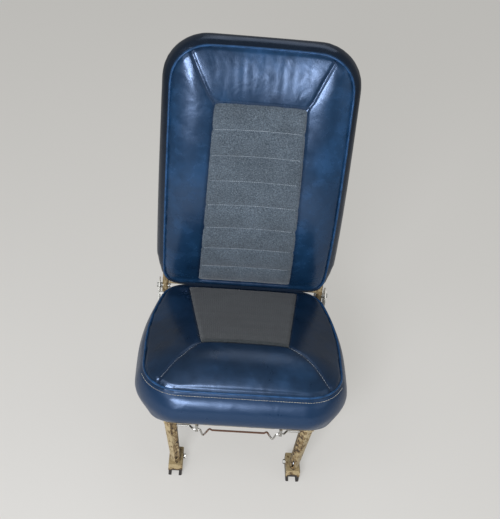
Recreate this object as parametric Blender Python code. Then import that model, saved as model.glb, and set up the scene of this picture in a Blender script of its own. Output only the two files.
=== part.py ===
"""Front seat of a light aircraft, built as the pieces that bolt and weld together.

X runs across the seat, Y from front to back and Z up, in metres. The seat faces -Y and stands on the
eight claws of its four rail feet. A welded steel frame carries the seat cushion on zigzag springs. The
back turns on two hinge bolts. Lengths along Y are given from the front face of the front feet.
"""
from math import atan2, cos, hypot, pi, radians, sin, sqrt, tan

import bmesh
import bpy
from mathutils import Matrix, Vector

MM = 0.001
GAP = 0.3 * MM
CUT_PAST = 3.0 * MM
WELD_SINK = 1.2 * MM

# Frame
FRONT_TO_ORIGIN = 223.84 * MM
RAIL_HALF_PITCH = 138.0 * MM
FRAME_TOP = 188.0 * MM
BEAM_HEIGHT = 22.0 * MM
BEAM_WALL = 2.0 * MM
RAIL_PAST_LEG = 2.0 * MM
SIDE_RAIL_WIDTH = 22.0 * MM
CHANNEL_DEPTH = 20.0 * MM
NOTCH_X = 88.0 * MM
NOTCH_WIDTH = 14.0 * MM
NOTCH_HEIGHT = 9.0 * MM

# Feet and rollers
FOOT_WIDTH = 33.0 * MM
FOOT_LENGTH = 58.0 * MM
FOOT_HEIGHT = 35.0 * MM
CLAW_HEIGHT = 16.0 * MM
CLAW_STEP = 1.0 * MM
FOOT_CHAMFER = 2.0 * MM
TUNNEL_WIDTH = 20.0 * MM
LIP_REACH = 1.5 * MM
LIP_HEIGHT = 4.0 * MM
ROLLER_RADIUS = 9.0 * MM
ROLLER_WIDTH = 14.0 * MM
ROLLER_Y = 41.0 * MM
ROLLER_ROOM = 1.5 * MM
ROLLER_SIDE_ROOM = 0.6 * MM
ROLLER_CROWN = 0.8 * MM
AXLE_Z = 22.0 * MM
AXLE_RADIUS = 3.0 * MM
AXLE_HEAD_RADIUS = 5.5 * MM
AXLE_HEAD_HEIGHT = 5.0 * MM
AXLE_END_SHORT = 0.5 * MM
REAR_FOOT_Y = 345.0 * MM

# Legs
LEG_FOOT_SHIFT = 0.5 * MM
LEG_SPLAY = 18.5 * MM
LEG_TOP_WIDTH = 28.0 * MM
LEG_FOOT_WIDTH = 20.0 * MM
LEG_FRONT_Y = 2.0 * MM
LEG_DEPTH = 24.0 * MM
LEG_WALL = 1.8 * MM
LEG_RIDGE_DEPTH = 9.0 * MM
PEEP_HOLE_RADIUS = 3.5 * MM
PEEP_SLOT_LENGTH = 26.0 * MM
PEEP_Z = 50.0 * MM
PEEP_REACH = 4.6 * MM
REAR_LEG_RADIUS = 10.0 * MM
REAR_LEG_WALL = 1.6 * MM

# Release bail
BAIL_RADIUS = 2.3 * MM
BAIL_SWING = radians(35)
BAIL_AXIS_Y = 1.0 * MM
BAIL_AXIS_Z = 151.0 * MM
BAIL_FINGER_ARM = 16.0 * MM
FINGER_PAST_EYE = 4.0 * MM
BAIL_FINGER_START_X = 111.0 * MM
BAIL_AXLE_OUTER_X = 103.0 * MM
BAIL_AXLE_INNER_X = 87.0 * MM
BAIL_GRIP_X = 60.0 * MM
BAIL_GRIP_SETBACK = 16.0 * MM
BAIL_GRIP_DROP = 16.0 * MM
BAIL_CRANK_X = 80.0 * MM
BAIL_CRANK_DROP = 31.0 * MM
BAIL_BEND = 4.0 * MM
BAIL_GRIP_RAMP = 14.0 * MM
FINGER_ROOM = 1.0 * MM
HANGER_WIDTH = 7.0 * MM
HANGER_THICKNESS = 1.5 * MM
HANGER_X = 95.0 * MM
HANGER_PAD = 14.0 * MM

# Seat lock
PIN_RADIUS = 4.0 * MM
PIN_TIP_Z = 5.0 * MM
PIN_TOP_Z = 47.0 * MM
PIN_CHAMFER = 1.5 * MM
PIN_NECK = 2.0 * MM
EYE_NECK = 5.0 * MM
BUSH_WALL = 1.6 * MM
LIFT_WIRE_RADIUS = 1.5 * MM
EYE_OUTSET = 11.0 * MM
EYE_RADIUS = 4.6 * MM
SPRING_RADIUS = 5.2 * MM
SPRING_WIRE = 0.6 * MM
SPRING_TURNS = 5
SPRING_SEAT_Z = 72.3 * MM
SPRING_SEAT_THICKNESS = 2.0 * MM
SPRING_SEAT_RADIUS = 6.0 * MM

# Seat springs
ZIGZAG_WIRE = 1.6 * MM
ZIGZAG_PITCH = 40.0 * MM
ZIGZAG_BEND = 12.0 * MM
ZIGZAG_WIDTH = 46.0 * MM
INNER_SPRING_X = 40.0 * MM
SPRING_SIDE_ROOM = 7.0 * MM
CLIP_WIDTH = 14.0 * MM
CLIP_THICKNESS = 1.2 * MM
CLIP_FRONT_Y = 5.0 * MM
CLIP_REAR_REACH = 6.0 * MM
CLIP_FOOT = 8.0 * MM
CLIP_TONGUE = 4.0 * MM

# Seat cushion
SEAT_FRONT_Y = -16.0 * MM
SEAT_REAR_Y = 384.0 * MM
SEAT_HALF_WIDTH = 226.0 * MM
SEAT_REAR_HALF_WIDTH = 200.0 * MM
SEAT_WIDEST_Y = 175.0 * MM
SEAT_FRONT_CORNER = 68.0 * MM
SEAT_REAR_CORNER = 62.0 * MM
SEAT_SIDE_SWEEP = 1200.0 * MM
SEAT_WELT_FRONT_Z = 297.0 * MM
SEAT_WELT_REAR_Z = 281.0 * MM
SEAT_CROWN_Z = 340.0 * MM
SEAT_CROWN_Y = 82.0 * MM
CROWN_OVER_WELT = 1.0 * MM
SEAT_BASE_Z = 195.0 * MM
SEAT_SIDE_BULGE = 18.0 * MM
SEAT_FRONT_BULGE = 38.0 * MM
SEAT_REAR_BULGE = 5.0 * MM
SEAT_SIDE_TUCK = 36.0 * MM
SEAT_FRONT_TUCK = 4.0 * MM
SEAT_INSERT_REAR_HALF = 136.0 * MM
SEAT_INSERT_FRONT_HALF = 97.0 * MM
SEAT_INSERT_ROWS = 5
SEAT_INSERT_SETBACK = 16.0 * MM
COVER_EDGE = 3.0 * MM
WELT_RADIUS = 3.0 * MM
INSERT_THICKNESS = 4.0 * MM
INSERT_PUFF = 2.5 * MM
INSERT_BED = 1.0 * MM
INSERT_COLUMNS = 6
ROW_STEPS = 3

# Back, in the plane of its tube frame
HINGE_Y = 405.0 * MM
HINGE_Z = 258.0 * MM
RECLINE = radians(7.3)
BACK_HALF_WIDTH = 209.0 * MM
BACK_TAPER = 5.0 * MM
HOOP_INSET = 9.5 * MM
HOOP_RADIUS = 8.0 * MM
HOOP_TOP = 606.0 * MM
HOOP_BEND = 72.0 * MM
HOOP_TAIL = 20.0 * MM
HOOP_WALL = 1.6 * MM
TAIL_ROOM = 1.0 * MM
BACK_BOTTOM = 27.0 * MM
BACK_TOP = 637.0 * MM
BACK_TOP_CORNER = 84.0 * MM
BACK_LOWER_CORNER = 46.0 * MM
BACK_BULGE = 20.0 * MM
BACK_REAR_STEP = 6.0 * MM
BACK_HOLLOW = 10.0 * MM
HOLLOW_RISE = 250.0 * MM
BOLSTER_REACH = 70.0 * MM
FULL_BULGE_DEPTH = 45.0 * MM
SIDE_SETBACK = 15.0 * MM
TOP_SETBACK = 4.0 * MM
FOOT_SETBACK = 13.0 * MM
FOOT_ROUND = 12.0 * MM
INSERT_FOOT_HEIGHT = 38.0 * MM
INSERT_FOOT_DEPTH = 27.0 * MM
INSERT_LOWER_HALF = 115.0 * MM
INSERT_UPPER_HALF = 105.0 * MM
QUILT_ROW = 61.0 * MM
QUILT_ROWS = 8
LUMBAR_LEAN = radians(-31.2)
SHOULDER_LEAN = radians(5.1)
SHELL_REAR = 16.0 * MM
SHELL_OVERHANG = 8.0 * MM
SHELL_WALL = 3.0 * MM
SHELL_ROUND = 9.0 * MM
BACK_ROD_RADIUS = 4.5 * MM
BACK_ROD_HEIGHT = 11.0 * MM
HOG_RING_RADIUS = 6.0 * MM
HOG_RING_WIRE = 0.8 * MM
HOG_RING_PITCH = 25.0 * MM
HOG_RING_COUNT = 9
BACK_SPRING_HEIGHTS = (150.0 * MM, 290.0 * MM, 430.0 * MM)

# Hinge brackets
SPACER_LENGTH = 4.9 * MM
BRACKET_THICKNESS = 3.0 * MM
BRACKET_TOP_RADIUS = 21.0 * MM
BRACKET_FOOT_RADIUS = 17.0 * MM
REAR_TUBE_RADIUS = 11.0 * MM
REAR_TUBE_WALL = 2.0 * MM
REAR_TUBE_Y = 411.0 * MM
HINGE_BOLT_RADIUS = 4.0 * MM
HINGE_HEAD_RADIUS = 6.0 * MM
HINGE_HEAD_HEIGHT = 4.5 * MM
BOLT_END = 1.0 * MM
SPACER_WALL = 3.0 * MM
STOP_PIN_RADIUS = 4.0 * MM
STOP_PIN_DROP = 17.0 * MM

# The legs splay from the floor rails to the side rails, and the pin's eye and the springs keep to them
LEG_FOOT_X = RAIL_HALF_PITCH + LEG_FOOT_SHIFT
LEG_TOP_X = LEG_FOOT_X + LEG_SPLAY
SIDE_RAIL_X = LEG_TOP_X + RAIL_PAST_LEG
EYE_X = RAIL_HALF_PITCH + EYE_OUTSET
BAIL_FINGER_END_X = EYE_X + FINGER_PAST_EYE
OUTER_SPRING_X = SIDE_RAIL_X - SIDE_RAIL_WIDTH / 2 - SPRING_SIDE_ROOM - ZIGZAG_WIDTH / 2

# The tubes stand inside the back's edge, and the brackets outside the tubes
BACK_LOWER_HALF_WIDTH = BACK_HALF_WIDTH - BACK_TAPER
HOOP_HALF_WIDTH = BACK_HALF_WIDTH - HOOP_INSET
BRACKET_INNER_X = HOOP_HALF_WIDTH + HOOP_RADIUS + SPACER_LENGTH + 2 * GAP

# Facets
PROFILE_STEP = 4.0 * MM
LOOP_SIDES = 46
ROUND_SIDES = 12
ROLLER_SIDES = 16
BAIL_SIDES = 6
SPRING_SIDES = 7
PIN_SIDES = 8
WIRE_SIDES = 5

SIDES = {"left": -1, "right": 1}


def clear_scene():
    for item in list(bpy.data.objects):
        bpy.data.objects.remove(item)


def make_material(name, colour, roughness, metallic=0.0):
    """A plain finish: colour, roughness and how metallic it is."""
    material = bpy.data.materials.new(name)
    material.use_nodes = True
    shader = material.node_tree.nodes["Principled BSDF"]
    shader.inputs["Base Color"].default_value = (*colour, 1.0)
    shader.inputs["Roughness"].default_value = roughness
    shader.inputs["Metallic"].default_value = metallic
    material.diffuse_color = (*colour, 1.0)
    return material


def make_empty(name, location, tilt=0.0):
    empty = bpy.data.objects.new(name, None)
    empty.location = location
    empty.rotation_euler = (tilt, 0.0, 0.0)
    bpy.context.collection.objects.link(empty)
    return empty


def finish_piece(name, bm, material, parent, smooth=True):
    """Turn a bmesh into a named piece on its parent empty."""
    bmesh.ops.recalc_face_normals(bm, faces=bm.faces)
    mesh = bpy.data.meshes.new(name)
    bm.to_mesh(mesh)
    bm.free()
    piece = bpy.data.objects.new(name, mesh)
    piece.data.materials.append(material)
    bpy.context.collection.objects.link(piece)
    piece.parent = parent
    if smooth:
        mesh.shade_smooth()
        mesh.set_sharp_from_angle(angle=radians(35))
    return piece


def combine(piece, guide, operation):
    """Apply a hidden guide shape to a piece: DIFFERENCE cuts it out, UNION welds it on."""
    guide.hide_render = True
    guide.display_type = "WIRE"
    modifier = piece.modifiers.new(guide.name, "BOOLEAN")
    modifier.operation = operation
    modifier.solver = "EXACT"
    modifier.object = guide


def cut(piece, cutter):
    combine(piece, cutter, "DIFFERENCE")


def weld(piece, addition):
    combine(piece, addition, "UNION")


def add_box(bm, low, high):
    size = Vector(high) - Vector(low)
    centre = (Vector(high) + Vector(low)) / 2
    matrix = Matrix.Translation(centre) @ Matrix.Diagonal((*size, 1.0))
    bmesh.ops.create_cube(bm, size=1.0, matrix=matrix)


def add_loft(bm, rings, capped=True):
    """Join rings of points, each with the same count, and close both ends."""
    loops = [[bm.verts.new(point) for point in ring] for ring in rings]
    count = len(loops[0])
    for lower, upper in zip(loops, loops[1:]):
        for i in range(count):
            j = (i + 1) % count
            bm.faces.new((lower[i], lower[j], upper[j], upper[i]))
    if capped:
        bm.faces.new(reversed(loops[0]))
        bm.faces.new(loops[-1])
    else:
        first, last = loops[0], loops[-1]
        for i in range(count):
            j = (i + 1) % count
            bm.faces.new((last[i], last[j], first[j], first[i]))


def circle_points(centre, radius, sides, across, up, start=0.0):
    angles = [start + 2 * pi * i / sides for i in range(sides)]
    return [centre + radius * (cos(a) * across + sin(a) * up) for a in angles]


def add_rod(bm, start, end, radius, sides=ROUND_SIDES, bore=0.0):
    """A round bar, or with a bore a tube open at both ends."""
    start, end = Vector(start), Vector(end)
    along = (end - start).normalized()
    across = along.orthogonal().normalized()
    up = along.cross(across)
    rings = [circle_points(p, radius, sides, across, up) for p in (start, end)]
    if bore:
        rings += [circle_points(p, bore, sides, across, up) for p in (end, start)]
    add_loft(bm, rings, capped=not bore)


def add_turned(bm, profile, centre, along, across, sides=ROUND_SIDES, closed=False):
    """A turned piece from (distance along the axis, radius) pairs."""
    up = along.cross(across)
    rings = [circle_points(centre + d * along, r, sides, across, up) for d, r in profile]
    add_loft(bm, rings, capped=not closed)


def rounded_path(corners, radius, steps=3):
    """A line through corners, each corner turned into a short arc."""
    points = [Vector(corners[0])]
    for before, here, after in zip(corners, corners[1:], corners[2:]):
        before, here, after = Vector(before), Vector(here), Vector(after)
        back, ahead = (before - here), (after - here)
        half = back.angle(ahead) / 2
        reach = min(radius / tan(half), 0.45 * back.length, 0.45 * ahead.length)
        first, last = here + back.normalized() * reach, here + ahead.normalized() * reach
        for i in range(steps + 1):
            t = i / steps
            points.append(first * (1 - t) ** 2 + here * 2 * t * (1 - t) + last * t ** 2)
    points.append(Vector(corners[-1]))
    return points


def add_wire(bm, points, radius, sides=WIRE_SIDES, closed=False, bore=0.0):
    """A round bar bent along points, without twist."""
    points = [Vector(p) for p in points]
    count = len(points)
    tangents = []
    for i, point in enumerate(points):
        before = points[i - 1] if (closed or i) else point
        after = points[(i + 1) % count] if (closed or i < count - 1) else point
        tangents.append((after - before).normalized())
    across = tangents[0].orthogonal().normalized()
    rings = []
    inner = []
    for point, tangent in zip(points, tangents):
        across = (across - tangent * across.dot(tangent)).normalized()
        up = tangent.cross(across)
        rings.append(circle_points(point, radius, sides, across, up))
        inner.append(circle_points(point, bore, sides, across, up))
    if closed:
        twist = match_twist(rings, sides)
        rings.append([rings[0][(i + twist) % sides] for i in range(sides)])
        add_closed_loft(bm, rings)
    elif bore:
        add_loft(bm, rings + inner[::-1], capped=False)
    else:
        add_loft(bm, rings)


def match_twist(rings, sides):
    """How many places the last ring is turned against the first."""
    spans = []
    for twist in range(sides):
        spans.append(sum((rings[-1][i] - rings[0][(i + twist) % sides]).length for i in range(sides)))
    return spans.index(min(spans))


def add_closed_loft(bm, rings):
    """A ring-shaped loft whose last ring names the first one's points."""
    loops = [[bm.verts.new(point) for point in ring] for ring in rings[:-1]]
    count = len(loops[0])
    shift = 0
    while (rings[-1][0] - rings[0][shift]).length > 1e-9:
        shift += 1
    loops.append([loops[0][(i + shift) % count] for i in range(count)])
    for lower, upper in zip(loops, loops[1:]):
        for i in range(count):
            j = (i + 1) % count
            bm.faces.new((lower[i], lower[j], upper[j], upper[i]))


def strip_outline(line, thickness):
    """The outline of a bent strip of sheet, from its outer line; the sheet lies to the line's left."""
    offsets = []
    for i, point in enumerate(line):
        before = line[i - 1] if i else None
        after = line[i + 1] if i < len(line) - 1 else None
        normals = []
        for a, b in ((before, point), (point, after)):
            if a is not None and b is not None:
                length = hypot(b[0] - a[0], b[1] - a[1])
                normals.append((-(b[1] - a[1]) / length, (b[0] - a[0]) / length))
        nx = sum(n[0] for n in normals) / len(normals)
        ny = sum(n[1] for n in normals) / len(normals)
        scale = thickness / (nx * nx + ny * ny)
        offsets.append((point[0] + nx * scale, point[1] + ny * scale))
    return list(line) + offsets[::-1]


def add_strip_along_x(bm, outline, x_low, x_high):
    """Push a (y, z) outline along X."""
    rings = [[Vector((x, y, z)) for y, z in outline] for x in (x_low, x_high)]
    add_loft(bm, rings)


def add_bolt(bm, start, along, head_radius, head_height, shank_radius, length):
    """A hexagon head with its shank; length is measured from the head's outer face."""
    across = along.orthogonal().normalized()
    up = along.cross(across)
    corners = circle_points(Vector(start), head_radius, 6, across, up)
    head = []
    for i, corner in enumerate(corners):
        head += [corner, (corner + corners[(i + 1) % 6]) / 2]
    shank = circle_points(Vector(start), shank_radius, 12, across, up)
    rings = [head, [p + along * head_height for p in head]]
    rings += [[p + along * d for p in shank] for d in (head_height, length)]
    add_loft(bm, rings)


def add_box_tube(bm, low, high, wall):
    """A square tube along Y, open at both ends."""
    rings = []
    for y, inset in ((low[1], 0.0), (high[1], 0.0), (high[1], wall), (low[1], wall)):
        x0, x1 = low[0] + inset, high[0] - inset
        z0, z1 = low[2] + inset, high[2] - inset
        rings.append([Vector((x0, y, z0)), Vector((x1, y, z0)), Vector((x1, y, z1)), Vector((x0, y, z1))])
    add_loft(bm, rings, capped=False)


def smooth_outline(corners, radii, count):
    """Points and outward normals, evenly spaced, on a closed outline with rounded corners."""
    dense = []
    total = len(corners)
    for i in range(total):
        before, here = Vector(corners[i - 1]), Vector(corners[i])
        after = Vector(corners[(i + 1) % total])
        half = (before - here).angle(after - here) / 2
        reach = radii[i] / tan(half)
        first = here + (before - here).normalized() * reach
        last = here + (after - here).normalized() * reach
        for step in range(17):
            t = step / 16
            weight = sin(half)
            near, middle, far = (1 - t) ** 2, 2 * t * (1 - t) * weight, t ** 2
            dense.append((first * near + here * middle + last * far) / (near + middle + far))
    lengths = [0.0]
    for a, b in zip(dense, dense[1:] + dense[:1]):
        lengths.append(lengths[-1] + (b - a).length)
    points = []
    place = 0
    for i in range(count):
        goal = lengths[-1] * i / count
        while lengths[place + 1] < goal:
            place += 1
        share = (goal - lengths[place]) / (lengths[place + 1] - lengths[place])
        points.append(dense[place].lerp(dense[(place + 1) % len(dense)], share))
    outline = []
    for i, point in enumerate(points):
        tangent = (points[(i + 1) % count] - points[i - 1]).normalized()
        outline.append((point, Vector((tangent.y, -tangent.x))))
    return outline


def add_cushion(bm, outline, spine, height, boxing, place):
    """A padded body: a crowned face inside the outline, boxing round it and a flat base.

    height(u, v) is the face's height. boxing(point, normal) lists (outward, height) pairs from the
    welt to the base. spine is the stretch along v that the face's rings close on to.
    """
    rings = []
    for share in (0.14, 0.4, 0.62, 0.8, 0.92):
        ring = []
        for point, _normal in outline:
            middle = Vector((0.0, min(max(point.y, spine[0]), spine[1])))
            spot = middle.lerp(point, share)
            ring.append(place(spot.x, spot.y, height(spot.x, spot.y)))
        rings.append(ring)
    sections = [boxing(point, normal) for point, normal in outline]
    for level in range(len(sections[0])):
        ring = []
        for (point, normal), section in zip(outline, sections):
            outward, up = section[level]
            spot = point + normal * outward
            ring.append(place(spot.x, spot.y, up))
        rings.append(ring)
    add_loft(bm, rings)


def add_panel(bm, corner_at, rows, columns, height, thickness, place, puff=None):
    """A thin padded panel on a curved face; corner_at(s, t) gives its flat place for shares s and t."""
    tops, bottoms = [], []
    for j in range(rows + 1):
        for i in range(columns + 1):
            u, v = corner_at(i / columns, j / rows)
            level = height(u, v)
            lift = puff(i / columns, j / rows) if puff else 0.0
            tops.append(bm.verts.new(place(u, v, level + lift)))
            bottoms.append(bm.verts.new(place(u, v, level - thickness)))
    wide = columns + 1
    for j in range(rows):
        for i in range(columns):
            a, b = j * wide + i, j * wide + i + 1
            c, d = a + wide, b + wide
            bm.faces.new((tops[a], tops[b], tops[d], tops[c]))
            bm.faces.new((bottoms[a], bottoms[c], bottoms[d], bottoms[b]))
    edge = [i for i in range(columns)] + [j * wide + columns for j in range(rows)]
    edge += [rows * wide + i for i in range(columns, 0, -1)] + [j * wide for j in range(rows, 0, -1)]
    for a, b in zip(edge, edge[1:] + edge[:1]):
        bm.faces.new((tops[a], bottoms[a], bottoms[b], tops[b]))


def flat_seat(u, v, level):
    return Vector((u, v, level))


def flat_back(u, v, level):
    """The back's own plane: u across, v up along the tubes, level forward."""
    return Vector((u, -level, v))


def seat_welt_height(y):
    share = (y - SEAT_FRONT_Y) / (SEAT_REAR_Y - SEAT_FRONT_Y)
    return SEAT_WELT_FRONT_Z + (SEAT_WELT_REAR_Z - SEAT_WELT_FRONT_Z) * min(max(share, 0.0), 1.0)


def seat_half_width(y):
    """Half the cushion's width at the welt, before its corners are rounded."""
    if y < SEAT_WIDEST_Y:
        return SEAT_HALF_WIDTH
    share = (y - SEAT_WIDEST_Y) / (SEAT_REAR_Y - SEAT_WIDEST_Y)
    return SEAT_HALF_WIDTH + (SEAT_REAR_HALF_WIDTH - SEAT_HALF_WIDTH) * share ** 2


def seat_height(x, y):
    """The seat's top: a rolled front edge, then a long fall to the back, crowned from side to side."""
    if y < SEAT_CROWN_Y:
        share = (SEAT_CROWN_Y - y) / (SEAT_CROWN_Y - SEAT_FRONT_Y)
        rise = sqrt(max(1 - share ** 2.4, 0.0))
        middle = seat_welt_height(y) + (SEAT_CROWN_Z - seat_welt_height(y)) * rise
    else:
        share = (y - SEAT_CROWN_Y) / (SEAT_REAR_Y - SEAT_CROWN_Y)
        middle = SEAT_CROWN_Z + (SEAT_WELT_REAR_Z + CROWN_OVER_WELT - SEAT_CROWN_Z) * share
    across = min(abs(x) / seat_half_width(y), 1.0)
    crown = 1 - across ** 3
    return seat_welt_height(y) + (middle - seat_welt_height(y)) * crown


def seat_outline():
    corners = [
        (SEAT_HALF_WIDTH, SEAT_FRONT_Y), (SEAT_HALF_WIDTH, SEAT_WIDEST_Y),
        (SEAT_REAR_HALF_WIDTH, SEAT_REAR_Y), (-SEAT_REAR_HALF_WIDTH, SEAT_REAR_Y),
        (-SEAT_HALF_WIDTH, SEAT_WIDEST_Y), (-SEAT_HALF_WIDTH, SEAT_FRONT_Y),
    ]
    sweep = SEAT_SIDE_SWEEP
    radii = [SEAT_FRONT_CORNER, sweep, SEAT_REAR_CORNER, SEAT_REAR_CORNER, sweep, SEAT_FRONT_CORNER]
    return smooth_outline(corners, radii, LOOP_SIDES)


def seat_boxing(point, normal):
    """The cushion's side from the welt down: it bulges, then tucks under to the frame."""
    front, rear = max(-normal.y, 0.0) ** 2, max(normal.y, 0.0) ** 2
    side = 1 - front - rear
    bulge = SEAT_SIDE_BULGE * side + SEAT_FRONT_BULGE * front + SEAT_REAR_BULGE * rear
    tuck = SEAT_SIDE_TUCK * side + SEAT_FRONT_TUCK * (front + rear)
    top = seat_welt_height(point.y)
    drop = top - SEAT_BASE_Z
    edge = COVER_EDGE
    return [
        (-edge, top), (0.0, top - edge), (0.55 * bulge, top - 0.14 * drop),
        (0.9 * bulge, top - 0.36 * drop), (bulge, top - 0.58 * drop),
        (0.8 * bulge, top - 0.76 * drop), (0.2 * bulge - 0.45 * tuck, top - 0.92 * drop),
        (-tuck, SEAT_BASE_Z),
    ]


def welt_path(outline, level, place):
    """The piping's centre line: it lies on the bevelled edge between face and boxing."""
    away = COVER_EDGE / 2 - (WELT_RADIUS + GAP) / sqrt(2)
    path = []
    for point, normal in outline:
        spot = point - normal * away
        path.append(place(spot.x, spot.y, level(point) - away))
    return path


def back_profile():
    """The back's front face in side view, as (height, forward) points up the insert and beyond."""
    points = [(INSERT_FOOT_HEIGHT, INSERT_FOOT_DEPTH)]
    quilted = QUILT_ROW * QUILT_ROWS
    travel = 0.0
    while points[-1][0] < BACK_TOP + BACK_BULGE:
        share = min(travel / quilted, 1.0)
        lean = LUMBAR_LEAN + (SHOULDER_LEAN - LUMBAR_LEAN) * (1 - (1 - share) ** 2)
        height, forward = points[-1]
        points.append((height + PROFILE_STEP * cos(lean), forward - PROFILE_STEP * sin(lean)))
        travel += PROFILE_STEP
    return points


PROFILE = back_profile()


def back_forward(height):
    """How far the middle of the front face lies in front of the tube frame's plane."""
    if height <= PROFILE[0][0]:
        return PROFILE[0][1]
    for (low, a), (high, b) in zip(PROFILE, PROFILE[1:]):
        if height <= high:
            return a + (b - a) * (height - low) / (high - low)
    return PROFILE[-1][1]


def back_row_height(share):
    """Height on the front face at a share of the quilted length."""
    last = int(round(QUILT_ROW * QUILT_ROWS / PROFILE_STEP))
    place = share * last
    low = min(int(place), last - 1)
    return PROFILE[low][0] + (PROFILE[low + 1][0] - PROFILE[low][0]) * (place - low)


def back_height(x, height):
    """The front face: hollow between its bolsters, falling back to the welt at its rim."""
    across = min(abs(x) / BACK_HALF_WIDTH, 1.0)
    hollow = BACK_HOLLOW * (1 - min(across / 0.75, 1.0) ** 2) * min(height / HOLLOW_RISE, 1.0)
    side = SIDE_SETBACK * max(1 - (BACK_HALF_WIDTH - abs(x)) / BOLSTER_REACH, 0.0) ** 2
    top = TOP_SETBACK * max(1 - (BACK_TOP - height) / BOLSTER_REACH, 0.0) ** 2
    foot = FOOT_SETBACK * max(1 - (height - BACK_BOTTOM) / FOOT_ROUND, 0.0) ** 2
    return back_forward(height) + BACK_HOLLOW / 2 - hollow - max(side, top, foot)


def back_outline():
    wide, narrow = BACK_HALF_WIDTH, BACK_LOWER_HALF_WIDTH
    corners = [(narrow, BACK_BOTTOM), (wide, BACK_TOP), (-wide, BACK_TOP), (-narrow, BACK_BOTTOM)]
    radii = [BACK_LOWER_CORNER, BACK_TOP_CORNER, BACK_TOP_CORNER, BACK_LOWER_CORNER]
    return smooth_outline(corners, radii, LOOP_SIDES)


def back_welt_level(point):
    return back_height(point.x, point.y)


def back_boxing(point, _normal):
    """The back's side: from the welt it bulges and draws in again to the rear cover."""
    front = back_welt_level(point)
    rear = HOOP_RADIUS + GAP
    depth = front - rear
    edge = COVER_EDGE
    bulge = BACK_BULGE * min(depth / FULL_BULGE_DEPTH, 1.0)
    return [
        (-edge, front), (0.0, front - edge), (0.6 * bulge, front - edge - 0.15 * (depth - edge)),
        (bulge, front - edge - 0.5 * (depth - edge)),
        (0.8 * bulge, front - edge - 0.8 * (depth - edge)), (BACK_REAR_STEP * min(1.0, bulge / MM), rear),
    ]


def build_feet(finish, parent):
    """Four cast rail feet: a block over two claws, with a pocket for the roller between them."""
    half, tunnel = FOOT_WIDTH / 2, TUNNEL_WIDTH / 2
    claw = half - CLAW_STEP
    chamfer = FOOT_CHAMFER
    right = [
        (half - chamfer, FOOT_HEIGHT), (half, FOOT_HEIGHT - chamfer), (half, CLAW_HEIGHT),
        (claw, CLAW_HEIGHT), (claw, chamfer), (claw - chamfer, 0.0), (tunnel - LIP_REACH, 0.0),
        (tunnel - LIP_REACH, LIP_HEIGHT - LIP_REACH), (tunnel, LIP_HEIGHT), (tunnel, CLAW_HEIGHT),
    ]
    outline = right + [(-x, z) for x, z in reversed(right)]
    for end, start_y in (("front", 0.0), ("rear", REAR_FOOT_Y)):
        for side, sign in SIDES.items():
            centre = sign * RAIL_HALF_PITCH
            bm = bmesh.new()
            rings = []
            for y in (start_y, start_y + FOOT_LENGTH):
                rings.append([Vector((centre + x, y, z)) for x, z in outline])
            add_loft(bm, rings)
            foot = finish_piece(f"{end}_foot_{side}", bm, finish, parent, smooth=False)
            machine_foot(foot, centre, start_y, parent)
            if end == "front":
                bore_for_bush(foot, centre, parent)


def machine_foot(foot, centre, start_y, parent):
    """Cut the roller's pocket and the bore for its axle bolt."""
    roller_y = start_y + ROLLER_Y
    pocket = ROLLER_RADIUS + ROLLER_ROOM
    half = ROLLER_WIDTH / 2 + ROLLER_SIDE_ROOM
    bm = bmesh.new()
    low = (centre - half, roller_y - pocket, -CUT_PAST)
    add_box(bm, low, (centre + half, roller_y + pocket, AXLE_Z + pocket))
    cut(foot, finish_piece("pocket_" + foot.name, bm, None, parent))
    bm = bmesh.new()
    start, end = centre - FOOT_WIDTH, centre + FOOT_WIDTH
    add_rod(bm, (start, roller_y, AXLE_Z), (end, roller_y, AXLE_Z), AXLE_RADIUS + GAP)
    cut(foot, finish_piece("bore_" + foot.name, bm, None, parent))


def bore_for_bush(foot, centre, parent):
    """The lock pin's bush is pressed into a hole down through the foot's block."""
    bm = bmesh.new()
    low, high = CLAW_HEIGHT - CUT_PAST, FOOT_HEIGHT + CUT_PAST
    radius = PIN_RADIUS + 2 * GAP + BUSH_WALL
    add_rod(bm, (centre, pin_y(), low), (centre, pin_y(), high), radius)
    cut(foot, finish_piece("bush_bore_" + foot.name, bm, None, parent))


def build_rollers(steel, parent):
    """A roller with its own axle bolt in each foot; the bolt heads face the seat's middle."""
    for end, start_y in (("front", 0.0), ("rear", REAR_FOOT_Y)):
        for side, sign in SIDES.items():
            centre = Vector((sign * RAIL_HALF_PITCH, start_y + ROLLER_Y, AXLE_Z))
            axle = make_empty(f"axle_{end}_{side}", centre)
            axle.parent = parent
            bm = bmesh.new()
            half, bore = ROLLER_WIDTH / 2, AXLE_RADIUS + GAP
            shoulder = (-half, ROLLER_RADIUS - ROLLER_CROWN)
            profile = [(-half, bore), shoulder, (-half + ROLLER_CROWN, ROLLER_RADIUS)]
            profile += [(-d, r) for d, r in reversed(profile)]
            along, up = Vector((1, 0, 0)), Vector((0, 1, 0))
            add_turned(bm, profile, Vector(), along, up, ROLLER_SIDES, closed=True)
            finish_piece(f"{end}_roller_{side}", bm, steel, axle)
            outward = Vector((sign, 0, 0))
            head = centre - outward * (FOOT_WIDTH / 2 + GAP + AXLE_HEAD_HEIGHT)
            length = FOOT_WIDTH + GAP + AXLE_HEAD_HEIGHT - AXLE_END_SHORT
            bm = bmesh.new()
            add_bolt(bm, head, outward, AXLE_HEAD_RADIUS, AXLE_HEAD_HEIGHT, AXLE_RADIUS, length)
            finish_piece(f"{end}_axle_bolt_{side}", bm, steel, parent)


def pin_y():
    """The lock pin stands midway through the bail finger's swing."""
    return BAIL_AXIS_Y + BAIL_FINGER_ARM * (1 + cos(BAIL_SWING / 2)) / 2


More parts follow.
